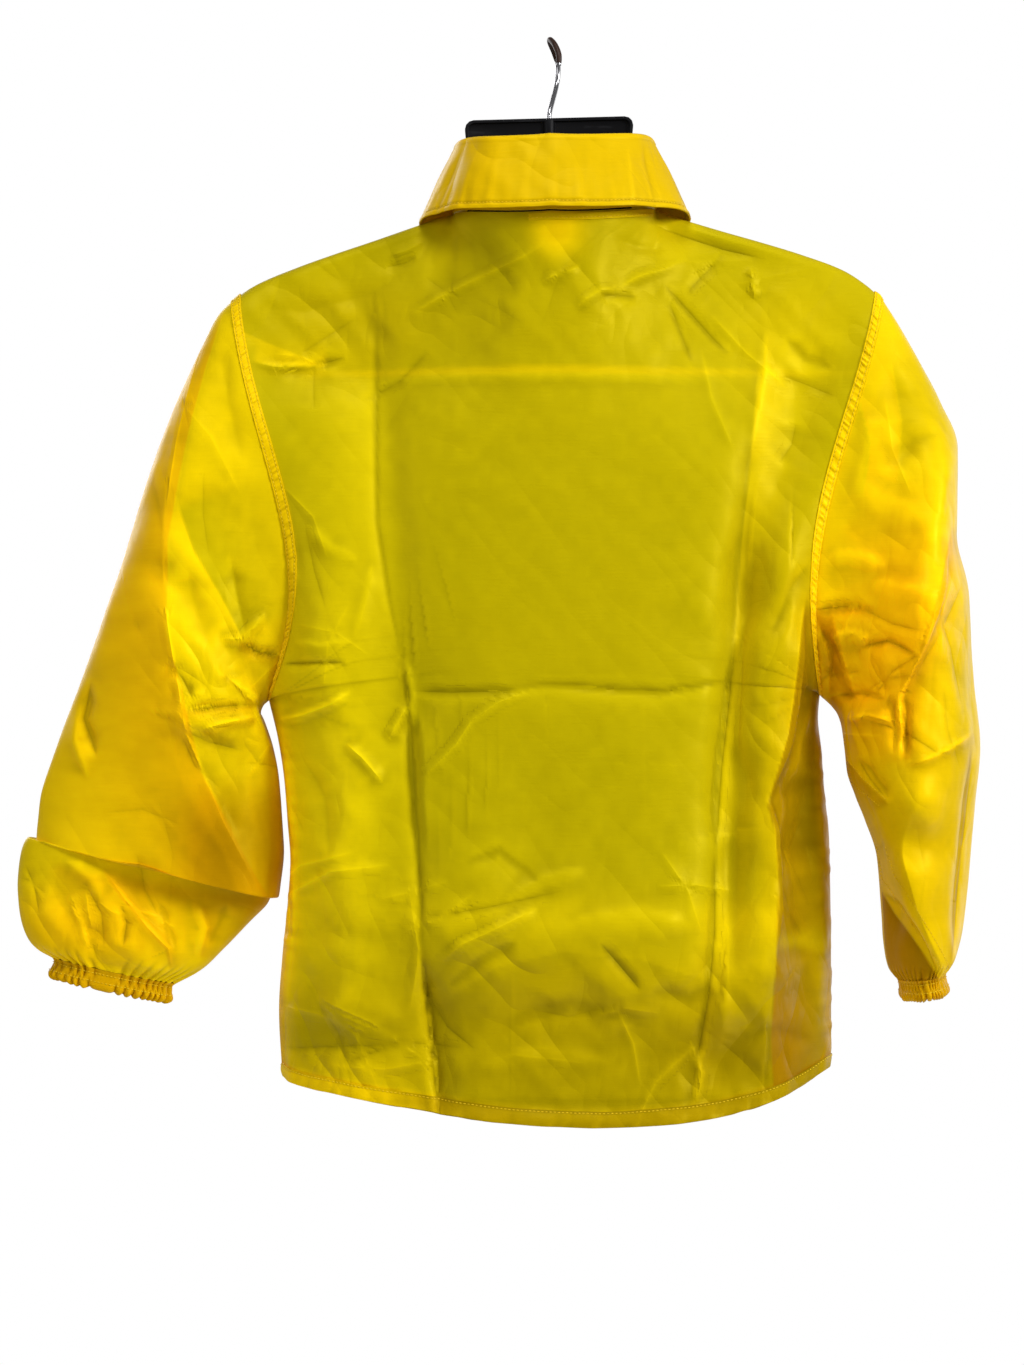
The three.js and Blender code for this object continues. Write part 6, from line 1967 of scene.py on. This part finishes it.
def round_edges(piece, width):
    """Joins a copied CAD mesh's loose triangles and rounds its sharp edges."""
    form = bmesh.new()
    form.from_mesh(piece.data)
    bmesh.ops.remove_doubles(form, verts=form.verts, dist=1e-6)
    bmesh.ops.dissolve_limit(form, angle_limit=math.radians(2), verts=form.verts, edges=form.edges)
    sharp = [e for e in form.edges if len(e.link_faces) == 2 and e.calc_face_angle(0) > math.radians(28)]
    bmesh.ops.bevel(
        form, geom=sharp, offset=width * MM, segments=2, profile=0.6, affect="EDGES", clamp_overlap=True
    )
    bmesh.ops.recalc_face_normals(form, faces=form.faces)
    form.to_mesh(piece.data)
    form.free()
    piece.data.polygons.foreach_set("use_smooth", np.ones(len(piece.data.polygons), bool))
    piece.data.set_sharp_from_angle(angle=math.radians(40))


# The add-on


def length_property(name, description, default, low, high):
    return bpy.props.FloatProperty(
        name=name, description=description, default=default, min=low, max=high,
        subtype="DISTANCE", unit="LENGTH", precision=5,
    )


class JacketSizes(bpy.types.PropertyGroup):
    cloth: length_property("Cloth", "Thickness of one layer of nylon", 0.0006, 0.0002, 0.003)
    seam_band: length_property("Armhole band", "Width of the seam round each armhole", 0.009, 0.004, 0.02)
    hem: length_property("Hem", "Height of the doubled casing at the hem", 0.012, 0.006, 0.04)
    stitch_pitch: length_property("Stitch pitch", "Distance from one stitch to the next", 0.003, 0.0015, 0.01)
    thread_width: length_property("Thread", "Width of the sewing thread", 0.0007, 0.0002, 0.002)
    floor_drop: length_property("Floor", "Depth of the studio floor below the hook", 1.25, 0.9, 3.0)
    crease_gain: bpy.props.FloatProperty(
        name="Creases", description="How strongly the drawn creases stand out", default=1.5, min=0, max=3,
        subtype="FACTOR",
    )


def colour_property(name, description, default):
    return bpy.props.FloatVectorProperty(
        name=name, description=description, default=default, size=3, min=0, max=1, subtype="COLOR"
    )


class JacketColours(bpy.types.PropertyGroup):
    single_layer: colour_property("Single layer", "Nylon over the dark inside", (0.475, 0.385, 0.001))
    double_layer: colour_property("Double layer", "Nylon where it lies doubled", (0.86, 0.60, 0.001))
    # Also the orange of painted shade, where the cloth turns from the light
    deep_layer_and_shade: colour_property("Deep layer", "Nylon in several layers", (0.90, 0.45, 0.001))
    thread: colour_property("Thread", "Sewing thread", (0.95, 0.66, 0.02))
    label: colour_property("Label", "Plain woven neck label", (0.86, 0.80, 0.55))
    plastic: colour_property("Plastic", "Moulded hanger", (0.004, 0.004, 0.005))
    snaps: colour_property("Snaps", "Painted snap caps", (0.86, 0.60, 0.01))


class JACKET_OT_body(bpy.types.Operator):
    """Makes the back and the two fronts from the garment's sections, folds and creases"""

    bl_idname = "jacket.body"
    bl_label = "Body panels"

    def execute(self, context):
        _pieces.update(build_bodies())
        return {"FINISHED"}


class JACKET_OT_sleeves(bpy.types.Operator):
    """Makes the two set-in sleeves and their gathered cuffs"""

    bl_idname = "jacket.sleeves"
    bl_label = "Sleeves and cuffs"

    def execute(self, context):
        for side in SIGNS:
            _pieces[f"sleeve_{side}"] = build_sleeve(side)
            _pieces[f"cuff_{side}"] = build_cuff(side)
        return {"FINISHED"}


class JACKET_OT_collar(bpy.types.Operator):
    """Makes the collar's stand and its folded leaf"""

    bl_idname = "jacket.collar"
    bl_label = "Collar"

    def execute(self, context):
        _pieces["leaf"], _pieces["stand"] = build_collar()
        return {"FINISHED"}


class JACKET_OT_seams(bpy.types.Operator):
    """Makes the armhole bands, the hem casing, the neck band and every row of stitches"""

    bl_idname = "jacket.seams"
    bl_label = "Seams and stitching"

    def execute(self, context):
        for side in SIGNS:
            band, lines = build_band(side)
            _pieces[f"band_{side}"] = band
            _pieces[f"band_stitches_{side}"] = sew(f"armhole_stitches_{side}", lines)
        hems, lines = build_hem()
        _pieces["hems"] = hems
        _pieces["hem_stitches"] = sew("hem_stitches", lines)
        _pieces["neck_band"], lines = build_neck_band()
        _pieces["neck_stitches"] = sew("neck_stitches", lines)
        degrees = np.linspace(-COLLAR_END + 2, COLLAR_END - 2, 400)
        points, normals = collar_cloth(degrees, 0.932 + 0 * degrees)
        _pieces["collar_stitches"] = sew("collar_stitches", [(points + normals * 0.2, normals)])
        lines = []
        for side in SIGNS:
            for down in (0.22, 0.62):
                turn = np.linspace(0, 2, 400)
                points, out = cuff_points(side, down + 0 * turn, turn)
                lines.append((points + out * 0.25, out))
        _pieces["cuff_stitches"] = sew("cuff_stitches", lines)
        _pieces["underarm_stitches"] = sew("underarm_stitches", _pieces["underarm"])
        return {"FINISHED"}


class JACKET_OT_closure(bpy.types.Operator):
    """Makes the placket, its stitches and the six snap caps"""

    bl_idname = "jacket.closure"
    bl_label = "Placket and snaps"

    def execute(self, context):
        _pieces["placket"], lines = build_placket()
        _pieces["placket_stitches"] = sew("placket_stitches", lines)
        build_snaps()
        return {"FINISHED"}


class JACKET_OT_label(bpy.types.Operator):
    """Makes the plain label inside the back of the neck"""

    bl_idname = "jacket.label"
    bl_label = "Neck label"

    def execute(self, context):
        _pieces["label"] = build_label()
        return {"FINISHED"}


class JACKET_OT_hanger(bpy.types.Operator):
    """Makes the hook's wire and tip sleeve and rounds the moulded hanger's edges"""

    bl_idname = "jacket.hanger"
    bl_label = "Hanger and hook"

    def execute(self, context):
        build_hanger()
        return {"FINISHED"}


class JACKET_OT_sheets(bpy.types.Operator):
    """Works out each cut piece of cloth's area against the size it was cut to, and keeps nothing"""

    bl_idname = "jacket.sheets"
    bl_label = "Cloth sizes"

    def execute(self, context):
        made = _pieces
        declare_sheet(made["back"], 560, 700)
        declare_sheet(made["front_left"], 330, 690)
        declare_sheet(made["front_right"], 330, 690)
        declare_sheet(made["placket"], 36, 660)
        for side in SIGNS:
            declare_sheet(made[f"sleeve_{side}"], 660, 600)
            declare_sheet(made[f"cuff_{side}"], 300, 32)
        declare_sheet(made["stand"], 460, 52)
        declare_sheet(made["leaf"], 500, 78)
        declare_sheet(made["label"], 37, 27)
        return {"FINISHED"}


class JACKET_OT_stage(bpy.types.Operator):
    """Sets the pale floor, the soft studio light and the camera"""

    bl_idname = "jacket.stage"
    bl_label = "Stage, light and camera"

    def execute(self, context):
        scene = context.scene
        drop = -sizes().floor_drop / MM
        turn = np.linspace(0, 2 * np.pi, 96, endpoint=False)
        reach = np.array([0.5, 300, 600, 900, 1150, 1200])
        points = stack(np.cos(turn)[None, :] * reach[:, None], np.sin(turn)[None, :] * reach[:, None], drop)
        faces = [face[::-1] for face in ring_faces(len(reach), len(turn))]
        floor = make_mesh("studio_floor", points.reshape(-1, 3), faces, material("floor"))
        floor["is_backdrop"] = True

        world = bpy.data.worlds.new("Studio")
        scene.world = world
        world.use_nodes = True
        nodes, links = world.node_tree.nodes, world.node_tree.links
        lit = nodes["Background"]
        lit.inputs["Color"].default_value = (1.0, 1.0, 1.0, 1.0)
        lit.inputs["Strength"].default_value = 0.17
        seen = nodes.new("ShaderNodeBackground")
        seen.inputs["Strength"].default_value = 1.0
        seen.inputs["Color"].default_value = (1.0, 1.0, 1.0, 1.0)
        ray, mix = nodes.new("ShaderNodeLightPath"), nodes.new("ShaderNodeMixShader")
        links.new(ray.outputs["Is Camera Ray"], mix.inputs[0])
        links.new(lit.outputs[0], mix.inputs[1])
        links.new(seen.outputs[0], mix.inputs[2])
        links.new(mix.outputs[0], nodes["World Output"].inputs["Surface"])

        for name, place, aim, size, power in (
            ("key", (-2.3, 1.7, 0.6), (0, 0, -0.45), 0.8, 68),
            ("fill", (2.1, 2.0, 0.0), (0, 0, -0.45), 1.5, 15),
            ("top", (0.0, 1.1, 1.5), (0, 0, -0.3), 1.0, 20),
            ("front_key", (1.6, -2.2, 0.5), (0, 0, -0.45), 1.6, 26),
            ("front_fill", (-1.8, -2.0, -0.2), (0, 0, -0.45), 1.8, 12),
        ):
            light = bpy.data.lights.new(name, "AREA")
            light.size, light.energy = size, power
            lamp = bpy.data.objects.new(name, light)
            scene.collection.objects.link(lamp)
            lamp.location = place
            lamp.rotation_euler = (Vector(aim) - Vector(place)).to_track_quat("-Z", "Y").to_euler()

        lens = bpy.data.cameras.new("camera")
        lens.sensor_fit = "VERTICAL"
        lens.sensor_height = 24
        lens.lens = lens.sensor_height * CAMERA_AWAY / VIEW_HEIGHT
        camera = bpy.data.objects.new("camera", lens)
        scene.collection.objects.link(camera)
        camera.location = (CAMERA_SIDEWAYS, CAMERA_AWAY, -CAMERA_DROP)
        camera.rotation_euler = (math.pi / 2, 0, math.pi)
        scene.camera = camera
        scene.view_settings.view_transform = "Standard"
        return {"FINISHED"}


class JACKET_PT_panel(bpy.types.Panel):
    """Lists the jacket's sizes, colours and steps"""

    bl_label = "Windbreaker"
    bl_idname = "JACKET_PT_panel"
    bl_space_type = "VIEW_3D"
    bl_region_type = "UI"
    bl_category = "Jacket"

    def draw(self, context):
        layout = self.layout
        for group in (context.scene.jacket_sizes, context.scene.jacket_colours):
            for key in type(group).__annotations__:
                layout.prop(group, key)
        for step in STEPS:
            layout.operator(step.bl_idname)


STEPS = (
    JACKET_OT_stage,
    JACKET_OT_hanger,
    JACKET_OT_body,
    JACKET_OT_sleeves,
    JACKET_OT_collar,
    JACKET_OT_closure,
    JACKET_OT_label,
    JACKET_OT_seams,
    JACKET_OT_sheets,
)
CLASSES = (JacketSizes, JacketColours, *STEPS, JACKET_PT_panel)


def register():
    for item in CLASSES:
        bpy.utils.register_class(item)
    bpy.types.Scene.jacket_sizes = bpy.props.PointerProperty(type=JacketSizes)
    bpy.types.Scene.jacket_colours = bpy.props.PointerProperty(type=JacketColours)


def unregister():
    del bpy.types.Scene.jacket_sizes
    del bpy.types.Scene.jacket_colours
    for item in reversed(CLASSES):
        bpy.utils.unregister_class(item)


def main():
    register()
    for step in STEPS:
        group, name = step.bl_idname.split(".")
        if getattr(getattr(bpy.ops, group), name)() != {"FINISHED"}:
            raise RuntimeError(f"{step.bl_label} didn't finish")
    plain = lambda box: [[float(v) for v in corner] for corner in box]
    {"cad": plain(CAD_BOX), "visual": plain(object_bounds())}


if __name__ == "__main__":
    main()
